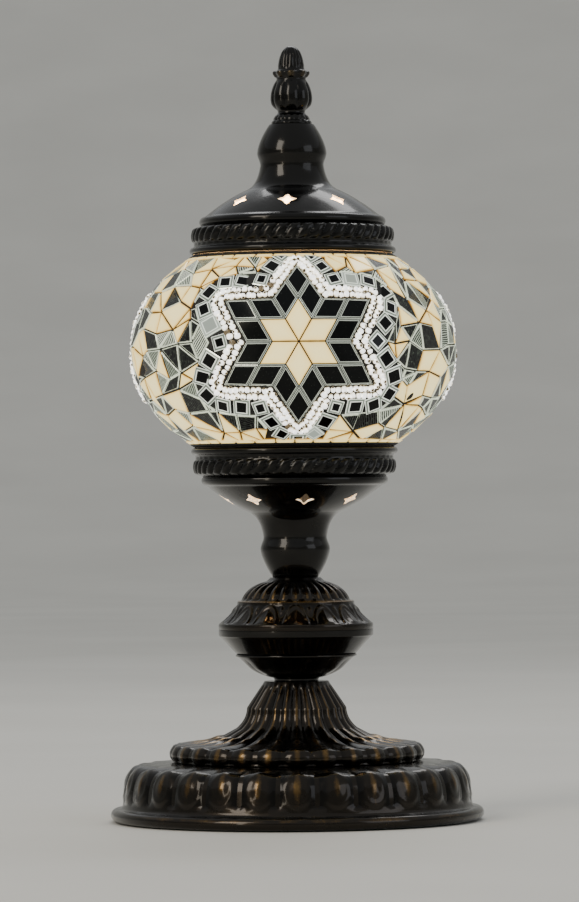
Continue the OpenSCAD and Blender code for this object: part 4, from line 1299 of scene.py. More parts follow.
@dataclass(frozen=True)
class GlobeFace:
    """The flattened globe's outer face and how flat designs are laid on it.

    A place is a turn in radians from the front, and a length along the meridian from the middle.
    """

    reach: float = 80.0
    rise: float = 59.2
    middle: float = 229.51
    design_rise: float = 2.5

    def sizes(self) -> tuple[float, float]:
        """The two numbers of the meridian's length: near t - swing sin 2t for angle t."""
        near = self.rise + (self.reach**2 - self.rise**2) / (4 * self.rise) * 0.89
        return near, (near - self.rise) / 2

    def length_at(self, radius: float) -> float:
        """Meridian length where the face has this radius."""
        near, swing = self.sizes()
        t = math.acos(min(0.99, radius / self.reach))
        return near * t - swing * math.sin(2 * t)

    def angle(self, length: Array) -> Array:
        """Angle of the ellipse at a meridian length, by two Newton steps."""
        near, swing = self.sizes()
        t = np.asarray(length) / near
        for _ in range(2):
            t = t - (near * t - swing * np.sin(2 * t) - length) / (near - 2 * swing * np.cos(2 * t))
        return t

    def place(self, turn: Array, length: Array, depth: Array | float) -> Array:
        """Points of the face, or under it by a depth along its normal."""
        t = self.angle(length)
        nr, nz = np.cos(t) / self.reach, np.sin(t) / self.rise
        size = np.hypot(nr, nz)
        r = self.reach * np.cos(t) - depth * nr / size
        z = self.rise * np.sin(t) - depth * nz / size
        return np.stack([r * np.sin(turn), -r * np.cos(turn), self.middle + z], axis=-1)

    def lay(self, flat: Array, turn: float) -> tuple[Array, Array]:
        """Lays flat points by their distance and direction from the design's centre.

        Args:
            flat: Points of the flat design, (..., 2).
            turn: Turn of the design's centre.

        Returns:
            Turns and meridian lengths.
        """
        rho = np.maximum(np.linalg.norm(flat, axis=-1), 1e-6)
        c = rho / self.reach
        across, up = flat[..., 0] / rho, flat[..., 1] / rho
        turns = turn + np.arctan2(across * np.sin(c), np.cos(c))
        return turns, self.reach * np.arcsin(np.clip(up * np.sin(c), -1, 1)) + self.design_rise

    def flat_at(self, turn: Array, length: Array) -> Array:
        """The flat point of a design that lies at a turn from its centre and a meridian length."""
        lat = (length - self.design_rise) / self.reach
        c = np.maximum(np.arccos(np.clip(np.cos(lat) * np.cos(turn), -1, 1)), 1e-6)
        size = self.reach * c / np.sin(c)
        return np.stack([size * np.cos(lat) * np.sin(turn), size * np.sin(lat)], axis=-1)


@dataclass
class StarDesign:
    """The six-pointed star of small rhombi, the bead rows and the squares round it."""

    face: GlobeFace = field(default_factory=GlobeFace)
    turns: tuple[float, ...] = tuple(math.radians(1.8 + 120 * k) for k in range(3))
    cell: float = 12.8
    rim: float = 50.5
    bead_row: float = 2.3
    bead_step: float = 3.7
    bead: float = 2.7
    square: float = 8.6
    square_pitch: float = 10.6

    def rim_length(self) -> float:
        """Meridian length up to which pieces stay clear of the rims."""
        return self.face.length_at(self.rim + 2)

    def rhombi(self, cells: Iterable[tuple[int, int]]) -> Array:
        """Flat corners of the small rhombi at the given cells of each point of the star."""
        out = []
        for tip in range(30, 390, 60):
            e, f = (self.cell * np.array([math.cos(math.radians(a)), math.sin(math.radians(a))]) for a in (tip - 30, tip + 30))
            out += [[(u + 1) * e + v * f, (u + 1) * e + (v + 1) * f, u * e + (v + 1) * f, u * e + v * f] for u, v in cells]
        return np.array(out)

    def along(self, s: Array, off: float) -> tuple[Array, Array]:
        """Points and directions on the path round the star at a distance off its edge.

        Args:
            s: Lengths from the first notch.
            off: Distance outside the star.

        Returns:
            Flat points, and the path's direction in radians. Each lobe is a straight edge, an arc
            of radius off through 120 degrees round the tip, and a straight edge back.
        """
        edge = 2 * self.cell - off / math.tan(math.radians(60))
        bend = off * math.radians(120)
        lobe_length = 2 * edge + bend
        lobe = np.floor(s / lobe_length)
        t = s - lobe * lobe_length
        notch = (2 * self.cell + off / math.sin(math.radians(60))) * np.array([math.cos(-math.pi / 6), math.sin(-math.pi / 6)])
        out = np.array([math.cos(math.pi / 6), math.sin(math.pi / 6)])
        a = (t - edge) / off - math.pi / 3
        first = notch + t[:, None] * out
        bendy = np.array([2 * self.cell * math.sqrt(3), 0]) + off * np.stack([np.cos(a), np.sin(a)], axis=1)
        last = notch * [1, -1] + (lobe_length - t)[:, None] * out * [1, -1]
        point = np.where((t < edge)[:, None], first, np.where((t > edge + bend)[:, None], last, bendy))
        heading = np.where(t < edge, math.pi / 6, np.where(t > edge + bend, math.pi * 5 / 6, a + math.pi / 2))
        spin = np.radians(30 + 60 * lobe)
        c, q = np.cos(spin), np.sin(spin)
        turned = np.stack([point[:, 0] * c - point[:, 1] * q, point[:, 0] * q + point[:, 1] * c], axis=1)
        return turned, heading + spin

    def path(self, off: float, pitch: float) -> tuple[Array, Array]:
        """Evenly spaced places on the path, one in every notch."""
        edge = 2 * self.cell - off / math.tan(math.radians(60))
        length = 2 * edge + off * math.radians(120)
        n = round(length / pitch)
        return self.along(length * np.arange(6 * n) / n, off)

    def gap(self, flat: Array) -> Array:
        """Distance outside the star of flat points, less than zero inside it."""
        a = np.mod(np.arctan2(flat[..., 1], flat[..., 0]) - math.radians(30) + math.radians(30), math.radians(60))
        a = np.abs(a - math.radians(30))
        rho = np.linalg.norm(flat, axis=-1)
        q = np.stack([rho * np.cos(a), rho * np.sin(a)], axis=-1)
        tip = np.array([2 * self.cell * math.sqrt(3), 0.0])
        along = (q - tip) @ np.array([-math.cos(math.pi / 6), math.sin(math.pi / 6)])
        side = (q - tip) @ np.array([math.sin(math.pi / 6), math.cos(math.pi / 6)])
        return np.where(along < 0, np.linalg.norm(q - tip, axis=-1), side)

    def ground_gap(self, turn: Array, length: Array) -> Array:
        """Distance outside the nearest star for places on the globe."""
        turns = np.array(self.turns)
        off = np.mod(turn[..., None] - turns + math.pi, 2 * math.pi) - math.pi
        nearest = np.take_along_axis(off, np.abs(off).argmin(-1)[..., None], -1)[..., 0]
        return self.gap(self.face.flat_at(nearest, length))


@dataclass
class CutPieces:
    """Flat pieces of cut glass set on the globe: a snapped wall, a ground edge and a flat face."""

    seed: int = 1
    bevel: float = 0.42
    frame: float = 1.0
    depth: float = 2.35
    wall_top: float = 0.42
    tilt: float = 0.012

    def shape(self, corners: Array) -> Shape:
        """Builds every piece of one corner count as whole arrays.

        Args:
            corners: Corners on the globe's face, (pieces, corners, 3), in order round the piece
                as seen from outside.

        Returns:
            Rings of corners drawn in towards the piece's middle and set at their depths under the
            face: back, wall top, ground edge, frame line, and a middle point. "inset" is the
            distance in from the edge and "lot" a random number for the piece.
        """
        rng = np.random.default_rng(self.seed)
        count, sides = corners.shape[:2]
        edge = np.roll(corners, -1, 1) - corners
        length = np.linalg.norm(edge, axis=2)
        # the middle is the mean weighted by the two sides at each corner's far end, which is the
        # centre of the inscribed circle on a triangle
        weight = np.roll(length, -1, 1) if sides == 3 else np.ones_like(length)
        middle = (corners * weight[..., None]).sum(1, keepdims=True) / weight.sum(1)[:, None, None]
        normal = np.cross(corners[:, 1] - corners[:, 0], corners[:, 2] - corners[:, 0])
        normal = normal / np.linalg.norm(normal, axis=1, keepdims=True)
        area = 0.5 * np.linalg.norm(np.cross(corners - middle, np.roll(corners, -1, 1) - middle), axis=2).sum(1)
        inradius = 2 * area / length.sum(1)
        lean = rng.normal(0, self.tilt, (count, 3))
        sink = ((corners - middle) * lean[:, None]).sum(2)
        sink = sink - sink.max(1, keepdims=True)
        lot = rng.random(count)
        rings, insets = [], []
        plan = [(0.0, self.depth, -1.6), (0.0, self.wall_top, 0.0), (self.bevel, 0.1, self.bevel), (self.frame, 0.08, self.frame)]
        for drawn, depth, inset in plan:
            share = np.maximum(1 - drawn / inradius, 0.12)
            ring = middle + (corners - middle) * share[:, None, None]
            settle = np.where(depth > 2, depth, depth - sink)
            rings.append(ring - normal[:, None] * settle[..., None])
            insets.append(np.full((count, sides), inset))
        top = middle[:, 0] - normal * (0.08 - sink.mean(1))[:, None]
        back = middle[:, 0] - normal * self.depth
        points = np.concatenate([*rings, top[:, None], back[:, None]], axis=1)
        inset = np.concatenate([*insets, inradius[:, None], np.full((count, 1), -1.6)], axis=1)
        size = 4 * sides + 2
        k = np.arange(sides)
        on = (k + 1) % sides
        quads = np.vstack([np.stack([a * sides + k, a * sides + on, (a + 1) * sides + on, (a + 1) * sides + k], axis=1) for a in range(3)])
        tris = np.vstack(
            [
                np.stack([3 * sides + k, 3 * sides + on, np.full(sides, 4 * sides)], axis=1),
                np.stack([on, k, np.full(sides, 4 * sides + 1)], axis=1),
            ]
        )
        starts = (np.arange(count) * size)[:, None, None]
        u = edge[:, 0] / length[:, :1]
        v = np.cross(normal, u)
        flat = np.stack([((points - middle) * u[:, None]).sum(2), ((points - middle) * v[:, None]).sum(2)], axis=2)
        return Shape(
            points.reshape(-1, 3),
            (quads[None] + starts).reshape(-1, 4),
            (tris[None] + starts).reshape(-1, 3),
            {"inset": inset.ravel(), "lot": np.repeat(lot, size)},
            flat.reshape(-1, 2),
        )


@dataclass
class SeedBeads:
    """Short rounded glass beads, each a small closed ring that lies or stands in the grout."""

    seed: int = 5
    size: float = 2.7
    long: float = 3.0
    bore: float = 0.5
    segments: int = 9

    def shape(self, centre: Array, across: Array, out: Array) -> Shape:
        """Turns a six-point profile about each bead's own axis.

        Args:
            centre: Bead centres, (n, 3).
            across: Unit vectors across the row.
            out: Unit vectors out of the globe.

        Returns:
            The beads. Most have their bore across the row, some show it to the eye. "inset" is
            1 on the outer crest, and falls to 0 in the bore and towards the grout: a mark of painted light and painted
            shade.
        """
        rng = np.random.default_rng(self.seed)
        n = len(centre)
        tip = np.where(rng.random(n) < 0.42, rng.uniform(0.8, 1.5, n), rng.normal(0, 0.25, n))
        side = np.cross(out, across)
        yaw = rng.normal(0, 0.14, n)
        flat = across * np.cos(yaw)[:, None] + side * np.sin(yaw)[:, None]
        axis = flat * np.cos(tip)[:, None] + out * np.sin(tip)[:, None]
        first = np.cross(axis, side)
        first = first / np.linalg.norm(first, axis=1, keepdims=True)
        second = np.cross(axis, first)
        r, half = self.size / 2, self.long / 2
        rim = np.array([(self.bore, -0.8 * half), (0.62 * r, -half), (0.97 * r, -0.5 * half), (0.97 * r, 0.5 * half), (0.62 * r, half), (self.bore, 0.8 * half)])
        shade = np.array([0.0, 0.62, 1.0, 1.0, 0.62, 0.0])
        a = 2 * math.pi * np.arange(self.segments) / self.segments
        grow = np.clip(rng.normal(1, 0.08, n), 0.8, 1.15)[:, None, None, None]
        radial = first[:, None, None] * np.cos(a)[None, None, :, None] + second[:, None, None] * np.sin(a)[None, None, :, None]
        ring = rim[None, :, :1, None] * radial + rim[None, :, 1:, None] * axis[:, None, None]
        points = centre[:, None, None] + grow * ring
        rows, columns = len(rim), self.segments
        quads = grid(rows, columns, closed_rows=True)
        starts = (np.arange(n) * rows * columns)[:, None, None]
        lot = np.repeat(rng.random(n), rows * columns)
        height = ((points - centre[:, None, None]) * out[:, None, None]).sum(-1) / r
        # painted shade: dark in the bore and on the low side towards the grout, lit on the outer crest
        inset = (shade[None, :, None] * (0.25 + 0.75 * rise(height, -0.25, 0.65))).ravel()
        return Shape(points.reshape(-1, 3), (quads[None] + starts).reshape(-1, 4), marks={"inset": inset, "lot": lot})


@dataclass
class GroundMosaic:
    """Irregular triangles and four-sided offcuts that fill the ground between the designs."""

    design: StarDesign
    seed: int = 11
    pitch: float = 11.4
    joint: float = 0.5

    def places(self) -> Array:
        """Scattered places in the ground, more of them along its borders.

        Returns:
            Turns and meridian lengths, (n, 2). Rows of places one pitch apart are shifted at
            random, and places that fall on the designs are dropped.
        """
        rng = np.random.default_rng(self.seed)
        face, top = self.design.face, self.design.rim_length() + 1.0
        found = []
        rows = np.linspace(-top, top, 11)
        for k, length in enumerate(rows):
            edge = k in (0, len(rows) - 1)
            radius = face.reach * math.cos(float(face.angle(np.array(length))))
            n = max(6, round(2 * math.pi * radius / (self.pitch * (1.15 if edge else 1.0))))
            turn = (np.arange(n) + 0.5 * (k % 2) + rng.uniform(-0.33, 0.33, n)) * 2 * math.pi / n
            drift = np.zeros(n) if edge else rng.uniform(-0.34, 0.34, n) * (rows[1] - rows[0])
            found.append(np.stack([turn, length + drift], axis=1))
        all_places = np.vstack(found)
        off = self.border()
        keep = self.design.ground_gap(all_places[:, 0], all_places[:, 1]) > off + 2.6
        border = []
        for turn in self.design.turns:
            flat, _ = self.design.path(off, 10.4)
            t, s = face.lay(flat, turn)
            border.append(np.stack([np.mod(t, 2 * math.pi), s], axis=1)[np.abs(s) < top - 2.5])
        edge_places = np.vstack(border)
        clear = self.design.ground_gap(edge_places[:, 0], edge_places[:, 1]) > off - 0.4
        return np.vstack([all_places[keep], edge_places[clear]])

    def border(self) -> float:
        """Distance of the ground's border from the stars: outside the ring of squares."""
        d = self.design
        return d.bead_row + d.bead_step + d.bead / 2 + d.square + 1.1

    def pieces(self) -> tuple[list[Array], list[Array]]:
        """Cuts the ground into pieces.

        The places are unrolled with the globe's girth at the middle of the ground, joined by a
        Delaunay net, and neighbouring triangles are paired where the pair is convex.

        Returns:
            Cream pieces and clear pieces as corner arrays of (turn, length).
        """
        rng = np.random.default_rng(self.seed + 1)
        face = self.design.face
        places = self.places()
        scale = face.reach * 0.86
        flat = np.vstack([places + [shift, 0] for shift in (-2 * math.pi, 0, 2 * math.pi)])
        flat = flat[(flat[:, 0] > -1.2) & (flat[:, 0] < 2 * math.pi + 1.2)]
        net = delaunay_2d_cdt([Vector((x * scale, y)) for x, y in flat], [], [], 0, 1e-4)
        points = np.array([[v.x / scale, v.y] for v in net[0]])
        tris = [tuple(t) for t in net[2]]
        good = []
        for tri in tris:
            q = points[list(tri)]
            m = q.mean(0)
            if not 0 <= m[0] < 2 * math.pi:
                continue
            samples = np.vstack([m[None], (q + np.roll(q, -1, 0)) / 2])
            if self.design.ground_gap(samples[:, 0], samples[:, 1]).min() < self.border() - 1.4:
                continue
            good.append(tri)
        owner: dict[tuple[int, int], int] = {}
        taken: set[int] = set()
        shapes: list[Array] = []
        order = rng.permutation(len(good))
        edges = {}
        for k, tri in enumerate(good):
            for a, b in zip(tri, tri[1:] + tri[:1]):
                edges[(a, b)] = k
        for k in order:
            if k in taken:
                continue
            tri = good[k]
            mate = None
            if rng.random() < 0.5:
                for a, b in zip(tri, tri[1:] + tri[:1]):
                    other = edges.get((b, a))
                    if other is None or other in taken or other == k:
                        continue
                    far = next(v for v in good[other] if v not in (a, b))
                    near = next(v for v in tri if v not in (a, b))
                    quad = [near, a, far, b]
                    q = points[quad] * [scale, 1]
                    turn = np.cross(np.roll(q, -1, 0) - q, np.roll(q, -2, 0) - np.roll(q, -1, 0))
                    size = np.linalg.norm(np.roll(q, -1, 0) - q, axis=1)
                    if (turn > 12).all() and size.max() < 15:
                        mate = (other, quad)
                        break
            taken.add(k)
            if mate:
                taken.add(mate[0])
                shapes.append(points[mate[1]])
            else:
                shapes.append(points[list(tri)])
        cream, clear = [], []
        for q in shapes:
            edge = abs(q[:, 1].mean()) / self.design.rim_length()
            (cream if rng.random() < 0.36 + 0.22 * edge else clear).append(q)
        return cream, clear

    def corners(self, pieces: Sequence[Array], sides: int) -> Array:
        """Corners on the globe of the pieces with this many sides, drawn in by the joint.

        Returns:
            (pieces, sides, 3). Each corner moves towards the inscribed centre so that every side
            moves in by the joint, and very small pieces are left out.
        """
        chosen = [q for q in pieces if len(q) == sides]
        q = np.array(chosen)
        p = self.design.face.place(q[..., 0], q[..., 1], 0.0)
        length = np.linalg.norm(np.roll(p, -1, 1) - p, axis=2)
        weight = np.roll(length, -1, 1) if sides == 3 else np.ones_like(length)
        middle = (p * weight[..., None]).sum(1, keepdims=True) / weight.sum(1)[:, None, None]
        area = 0.5 * np.linalg.norm(np.cross(p - middle, np.roll(p, -1, 1) - middle), axis=2).sum(1)
        inradius = 2 * area / length.sum(1)
        keep = inradius > 1.25
        share = 1 - self.joint / inradius
        return (middle + (p - middle) * share[:, None, None])[keep]


@dataclass
class MosaicGlobe:
    """The globe's covering: grout, stars, squares, beads, ground pieces and rim strips."""

    design: StarDesign = field(default_factory=StarDesign)
    mouth: float = 42.0

    def grout(self) -> Shape:
        """The grout as one closed skin: the ellipse 1.5 mm under the pieces' face, up to the face in
        a collar at each opening, and back 3.25 mm under the face."""
        face = self.design.face

        def skin(depth: Array | float, radius: float, steps: int) -> Array:
            """Points of the ellipse set in by depth, from the lower opening to the upper one."""
            t = np.arccos(radius / face.reach)
            a = np.linspace(-t, t, steps)
            return np.stack([(face.reach - depth) * np.cos(a), (face.rise - depth) * np.sin(a)], axis=1)

        t = np.abs(np.linspace(-1, 1, 121))
        limit = math.acos(self.mouth / face.reach)
        collar = math.acos(51.4 / face.reach) / limit
        depth = 1.55 - 1.53 * rise(t, collar - 0.02, collar + 0.005)
        outer = skin(depth, self.mouth, 121)
        inner = skin(3.25, self.mouth, 61)[::-1]
        line = np.vstack([outer, inner])
        columns = 240
        theta = 2 * math.pi * np.arange(columns)[None] / columns
        r, z = line[:, :1], line[:, 1:] + face.middle
        points = np.stack([r * np.cos(theta), r * np.sin(theta), z + 0 * theta], axis=-1)
        return Shape(points.reshape(-1, 3), grid(len(line), columns, closed_rows=True))

    def laid(self, flat: Array) -> Array:
        """Corners on the globe of flat outlines, laid once for every design."""
        parts = []
        for turn in self.design.turns:
            t, s = self.design.face.lay(flat, turn)
            parts.append(self.design.face.place(t, s, 0.0))
        return np.concatenate(parts)

    def drawn_in(self, flat: Array, gap: float) -> Array:
        """Outlines whose sides move in by gap about their middle."""
        middle = flat.mean(1, keepdims=True)
        edge = np.roll(flat, -1, 1) - flat
        area = 0.5 * np.abs(np.cross(flat - middle, np.roll(flat, -1, 1) - middle)).sum(1)
        inradius = 2 * area / np.linalg.norm(edge, axis=2).sum(1)
        return middle + (flat - middle) * (1 - gap / inradius)[:, None, None]

    def squares(self) -> Array:
        """Corners of the squares round every star, each turned and shifted a little by hand."""
        d = self.design
        rng = np.random.default_rng(3)
        off = d.bead_row + d.bead_step + d.bead / 2 + d.square / 2 + 0.7
        found = []
        for turn in d.turns:
            point, heading = d.path(off, d.square_pitch)
            n = len(point)
            spin = heading + rng.normal(0, 0.13, n)
            size = 1.08 * d.square * rng.uniform(0.93, 1.07, (n, 1))
            in_notch = np.arange(n) % (n // 6) == 0
            size[in_notch] *= 0.84
            spin[in_notch] = heading[in_notch] - math.radians(15)
            shape = rng.uniform(0.9, 1.06, (n, 1))
            k = np.radians([45, 135, 225, 315])
            x, y = size / math.sqrt(2) * np.cos(k), shape * size / math.sqrt(2) * np.sin(k)
            c, q = np.cos(spin)[:, None], np.sin(spin)[:, None]
            flat = point[:, None] + np.stack([x * c - y * q, x * q + y * c], axis=2)
            flat = flat + rng.normal(0, 0.16, (n, 1, 2))
            t, s = d.face.lay(flat, turn)
            # squares that pass the rim are cut along it
            s = np.clip(s, -d.rim_length() - 0.4, d.rim_length() + 0.4)
            keep = s.max(1) - s.min(1) > 3.5
            found.append(d.face.place(t, s, 0.0)[keep])
        return np.concatenate(found)

    def beads(self) -> tuple[Array, Array, Array]:
        """Centres, cross-row directions and outward directions of the beads of both rows."""
        d = self.design
        rng = np.random.default_rng(8)
        centres, across, out = [], [], []
        for turn in d.turns:
            for row in range(2):
                off = d.bead_row + row * d.bead_step
                point, heading = d.path(off, 2.95)
                point = point + rng.normal(0, 0.2, point.shape)
                step = np.stack([-np.sin(heading), np.cos(heading)], axis=1)
                t, s = d.face.lay(point, turn)
                keep = np.abs(s) < d.rim_length() - 0.2
                t2, s2 = d.face.lay(point - 0.5 * step, turn)
                here = d.face.place(t, s, 0.85)
                side = d.face.place(t2, s2, 0.85) - here
                up = d.face.place(t, s, -1.0) - here
                centres.append(here[keep])
                across.append((side / np.linalg.norm(side, axis=1, keepdims=True))[keep])
                out.append((up / np.linalg.norm(up, axis=1, keepdims=True))[keep])
        return np.concatenate(centres), np.concatenate(across), np.concatenate(out)

    def rim_strips(self) -> Array:
        """Corners of the narrow cream strips that edge the mosaic under the cap and over the cup."""
        d = self.design
        rng = np.random.default_rng(21)
        low, high = d.face.length_at(53.2), d.face.length_at(51.2)
        found = []
        for side in (1, -1):
            n = 34
            cuts = (np.arange(n) + rng.uniform(-0.22, 0.22, n)) * 2 * math.pi / n
            a, b = cuts + 0.006, np.roll(cuts, -1) - 0.006
            b[-1] += 2 * math.pi
            lows, highs = np.full(n, side * low), np.full(n, side * high)
            if side == 1:
                t, s = np.stack([a, b, b, a], axis=1), np.stack([lows, lows, highs, highs], axis=1)
            else:
                t, s = np.stack([a, b, b, a], axis=1), np.stack([highs, highs, lows, lows], axis=1)
            found.append(d.face.place(t, s, 0.05))
        return np.concatenate(found)

    def build(self, finishes: dict[str, bpy.types.Material]) -> None:
        """Makes every piece of the covering.

        Args:
            finishes: Materials by name.
        """
        d, gap = self.design, 0.3
        mirror, cream, clear = finishes["mirror"], finishes["cream"], finishes["clear"]
        make_piece("grout_skin", self.grout(), [finishes["grout"]], Body.GLOBE, "mosaic_bed")
        stars = self.laid(self.drawn_in(d.rhombi([(1, 0), (0, 1), (1, 1)]), gap))
        make_piece("star_mirror_cells", CutPieces(1, frame=1.0).shape(stars), [mirror], Body.GLOBE, "star_mirrors", 20)
        hearts = self.laid(self.drawn_in(d.rhombi([(0, 0)]), gap + 0.1))
        make_piece("star_cream_cells", CutPieces(2, frame=1.4).shape(hearts), [cream], Body.GLOBE, "star_creams", 20)
        squares = CutPieces(3, bevel=0.7, frame=1.7, tilt=0.05).shape(self.squares())
        make_piece("square_mirror_cells", squares, [finishes["thick_mirror"]], Body.GLOBE, "square_mirrors", 20)
        beads = SeedBeads().shape(*self.beads())
        make_piece("seed_bead_rows", beads, [finishes["bead"]], Body.GLOBE, "bead_rows", 60)
        ground = GroundMosaic(d)
        creams, clears = ground.pieces()
        for name, group, node, slot, material, seed in (
            ("ground_creams", creams, "cream_fillers", Slot.CREAM, cream, 31),
            ("ground_clears", clears, "clear_fillers", Slot.CLEAR, clear, 41),
        ):
            shapes = [
                CutPieces(seed + sides, frame=1.1, tilt=0.03).shape(ground.corners(group, sides)) for sides in (3, 4)
            ]
            make_piece(name, joined(shapes), [material], Body.GLOBE, node, 20)
        strips = CutPieces(51, bevel=0.2, frame=0.5, tilt=0.0, depth=1.6).shape(self.rim_strips())
        make_piece("rim_cream_strips", strips, [cream], Body.GLOBE, None, 20)


# ---------------------------------------------------------------- assembly


@dataclass
class MetalWork:
    """The stand's and the cap's pressed, spun and cast metal."""

    def build(self, finishes: dict[str, bpy.types.Material]) -> None:
        """Makes the metal pieces from the floor up.

        Args:
            finishes: Materials by name.
        """
        warm, dark, inside = finishes["bronze"], finishes["gunmetal"], finishes["lit_inside"]
        make_piece("gadrooned_foot", BaseFoot().shape(), [warm], Body.STAND, "base_foot")
        make_piece("scalloped_bell", FlutedBell().shape(), [warm], Body.STAND, "fluted_bell")
        make_piece("knob_lower_half", KnobBowl().shape(), [dark], Body.STAND, "knob_bowl")
        make_piece("knob_upper_half", KnobCover().shape(), [warm], Body.STAND, "knob_cover")
        cup = PiercedShell(rim_at=182.3, upward=False, turn=8.3)
        make_piece("pierced_cup", cup.shape(), [dark, inside], Body.STAND, "lower_cup")
        make_piece("pierced_cap", PiercedShell().shape(), [dark, inside], Body.CAP, "cap_shell")
        make_piece("acorn_finial", AcornFinial().shape(), [dark], Body.CAP, "finial")


@dataclass
class Hardware:
    """The CAD nodes that keep their shape and only take a finish."""

    dressed: dict[str, str] = field(
        default_factory=lambda: {
            "felt_pad": "felt",
            "base_cover": "painted_sheet",
            "cord_gland": "moulded",
            "gland_nut": "moulded",
            "globe_seat": "rubber",
            "threaded_pipe": "brass",
            "bottom_washer": "zinc",
            "bottom_nut": "brass",
            "neck_washer": "zinc",
            "neck_nut": "brass",
            "holder_base": "moulded",
            "holder_sleeve": "moulded",
            "holder_thread": "brass",
            "holder_contact": "brass",
            "terminal_screws": "zinc",
            "globe_glass": "blown",
            "finial_washer": "zinc",
            "finial_nut": "brass",
            "bulb_glass": "bulb",
            "bulb_cap": "zinc",
            "bulb_insulator": "moulded",
            "bulb_contact": "zinc",
            "bulb_stem": "blown",
            "bulb_filament": "wire",
        }
    )

    def dress(self, nodes: dict[str, bpy.types.Object], finishes: dict[str, bpy.types.Material]) -> None:
        """Gives each node its finish.

        Args:
            nodes: The frame's objects by node name.
            finishes: Materials by name.
        """
        for node, finish in self.dressed.items():
            for place in nodes[node].material_slots:
                place.material = finishes[finish]
            log.info("%s: %s", node, finish)


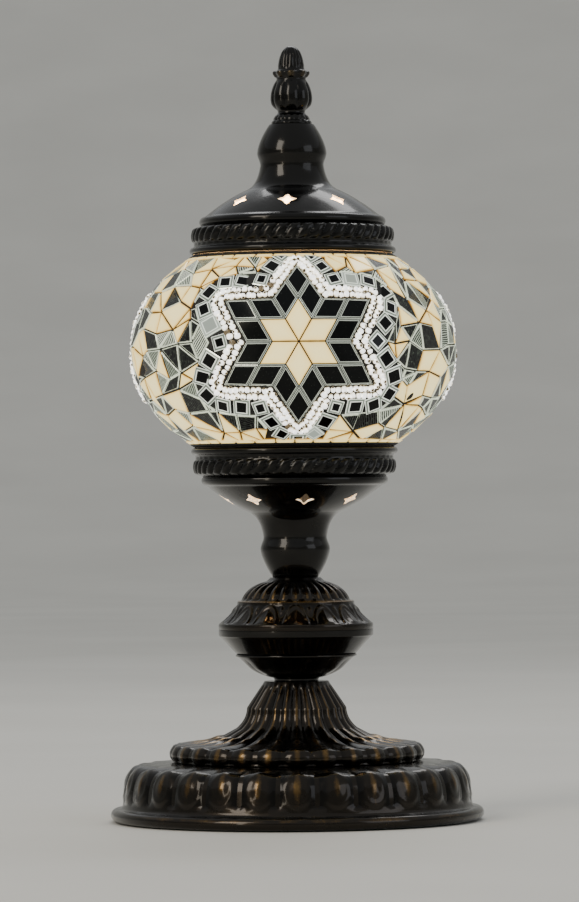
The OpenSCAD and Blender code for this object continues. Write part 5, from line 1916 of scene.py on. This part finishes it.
@dataclass
class Studio:
    """A pale floor that rises far off on every side, soft lights and the camera."""

    distance: float = 2.5
    height: float = 0.1615
    pitch: float = 0.437
    roll: float = -0.5
    aside: float = -0.0024

    def floor(self) -> None:
        """One round-edged sheet, flat for 5 m and then rising as 0.06 times the square of the way on."""
        line = np.linspace(-14.0, 14.0, 71)
        x, y = np.meshgrid(line, line)
        beyond = np.maximum(np.hypot(x, y) - 5.0, 0.0)
        points = np.stack([x, y, 0.06 * beyond**2], axis=-1).reshape(-1, 3)
        mesh = bpy.data.meshes.new("studio_floor")
        mesh.from_pydata(points, [], grid(len(line), len(line), closed_columns=False).tolist())
        mesh.polygons.foreach_set("use_smooth", np.ones(len(mesh.polygons), bool))
        sheet = bpy.data.objects.new("studio_floor", mesh)
        bpy.context.scene.collection.objects.link(sheet)
        material = bpy.data.materials.new("matt_pale_paper")
        material.use_nodes = True
        tree = material.node_tree
        shader = tree.nodes["Principled BSDF"]
        place = add(tree, "ShaderNodeTexCoord").outputs["Object"]
        cloud = add(tree, "ShaderNodeTexNoise", {"Scale": 3.0, "Detail": 3.0}, {"Vector": place}).outputs["Fac"]
        tree.links.new(ramp(tree, cloud, [(0.3, "d2d0c9"), (0.7, "dad8d1")]), shader.inputs["Base Color"])
        shader.inputs["Roughness"].default_value = 0.7
        mesh.materials.append(material)

    def light(self, name: str, at: Sequence[float], aim: Sequence[float], size: Sequence[float], power: float, colour: str) -> None:
        """Adds one rectangular lamp.

        Args:
            name: Its name.
            at: Where it hangs.
            aim: Where it points.
            size: Its width and height.
            power: Watts.
            colour: sRGB hex.
        """
        data = bpy.data.lights.new(name, "AREA")
        data.shape = "RECTANGLE"
        data.size, data.size_y = size
        data.energy = power
        data.color = linear(colour)[:3]
        lamp = bpy.data.objects.new(name, data)
        lamp.location = at
        lamp.rotation_euler = (Vector(aim) - Vector(at)).to_track_quat("-Z", "Y").to_euler()
        bpy.context.scene.collection.objects.link(lamp)

    def build(self) -> None:
        """Sets floor, lights, world and camera."""
        self.floor()
        self.light("key_panel", (-1.5, -1.5, 1.5), (0, 0, 0.2), (0.8, 1.2), 22, "fff6ea")
        self.light("fill_panel", (1.9, -1.2, 0.9), (0, 0, 0.2), (1.2, 1.2), 7, "eef3ff")
        self.light("back_panel", (0.3, 1.2, 1.7), (0, 0, 0.25), (1.4, 0.5), 9, "ffffff")
        self.light("strip_left", (-0.75, -1.1, 0.35), (0, 0, 0.25), (0.08, 0.9), 1.6, "fff2dc")
        glow = bpy.data.lights.new("bulb_light", "POINT")
        glow.energy = 2.2
        glow.color = linear("ffe0b0")[:3]
        glow.shadow_soft_size = 0.02
        lamp = bpy.data.objects.new("bulb_light", glow)
        lamp.location = (0, 0, 0.262)
        bpy.context.scene.collection.objects.link(lamp)
        world = bpy.data.worlds.new("studio_air")
        world.use_nodes = True
        world.node_tree.nodes["Background"].inputs["Color"].default_value = linear("c8cacb")
        world.node_tree.nodes["Background"].inputs["Strength"].default_value = 0.95
        bpy.context.scene.world = world
        data = bpy.data.cameras.new("camera")
        data.lens = 204.0
        data.sensor_width = 36.0
        camera = bpy.data.objects.new("camera", data)
        camera.location = (self.aside, -self.distance, self.height)
        camera.rotation_mode = "XYZ"
        turn = Vector((0, math.cos(math.radians(self.pitch)), math.sin(math.radians(self.pitch)))).to_track_quat("-Z", "Y")
        camera.rotation_euler = (turn.to_matrix() @ _roll(self.roll)).to_euler()
        bpy.context.scene.collection.objects.link(camera)
        bpy.context.scene.camera = camera


def _roll(degrees: float) -> Any:
    """A turn about the camera's own line of sight."""
    from mathutils import Matrix

    return Matrix.Rotation(math.radians(degrees), 3, "Z")


def build_finishes() -> dict[str, bpy.types.Material]:
    """Every finish of the lamp, by name."""
    makers: dict[str, Finish] = {
        "bronze": AntiquePlate("antique_bronze_plate"),
        "gunmetal": AntiquePlate("antique_gunmetal_plate", "0a0a09", "1b1a18", "57492f", 0.17),
        "lit_inside": LitInside("bare_plate_lit_by_the_bulb"),
        "mirror": CutMirror("cut_mirror_thin_edge", 0.3, 0.9),
        "thick_mirror": CutMirror("cut_mirror_thick_edge", 0.6, 1.3, "5f685c", "f2f6ea", 0.18),
        "cream": OpalCream("opal_cream_glass"),
        "clear": RippledClear("clear_glass_offcuts"),
        "bead": LitBead("clear_seed_bead_glass"),
        "grout": BlackGrout("black_cement_grout"),
        "blown": BlownGlass("clear_blown_glass"),
        "bulb": BlownGlass("frosted_bulb_glass", "fff1d6", 0.35, 0.6, 3.0),
        "wire": GlowingWire("glowing_tungsten"),
        "brass": MachinedMetal("turned_brass"),
        "zinc": MachinedMetal("zinc_plated_steel", "c9ccce", "8f9396", 0.3),
        "moulded": MouldedBlack("moulded_black_phenolic"),
        "rubber": MouldedBlack("black_rubber", "101010", 0.7, 900.0),
        "painted_sheet": MouldedBlack("black_painted_steel", "121213", 0.32, 500.0),
        "felt": PressedFelt("dark_green_felt"),
    }
    return {name: maker.build() for name, maker in makers.items()}


def main() -> None:
    """Builds the lamp on its frame, piece by piece, and reports each one."""
    logging.basicConfig(level=logging.INFO, format="%(name)s %(message)s")
    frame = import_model()
    Studio().build()
    finishes = build_finishes()
    Hardware().dress(frame["nodes"], finishes)
    MetalWork().build(finishes)
    MosaicGlobe().build(finishes)


if __name__ == "__main__":
    main()
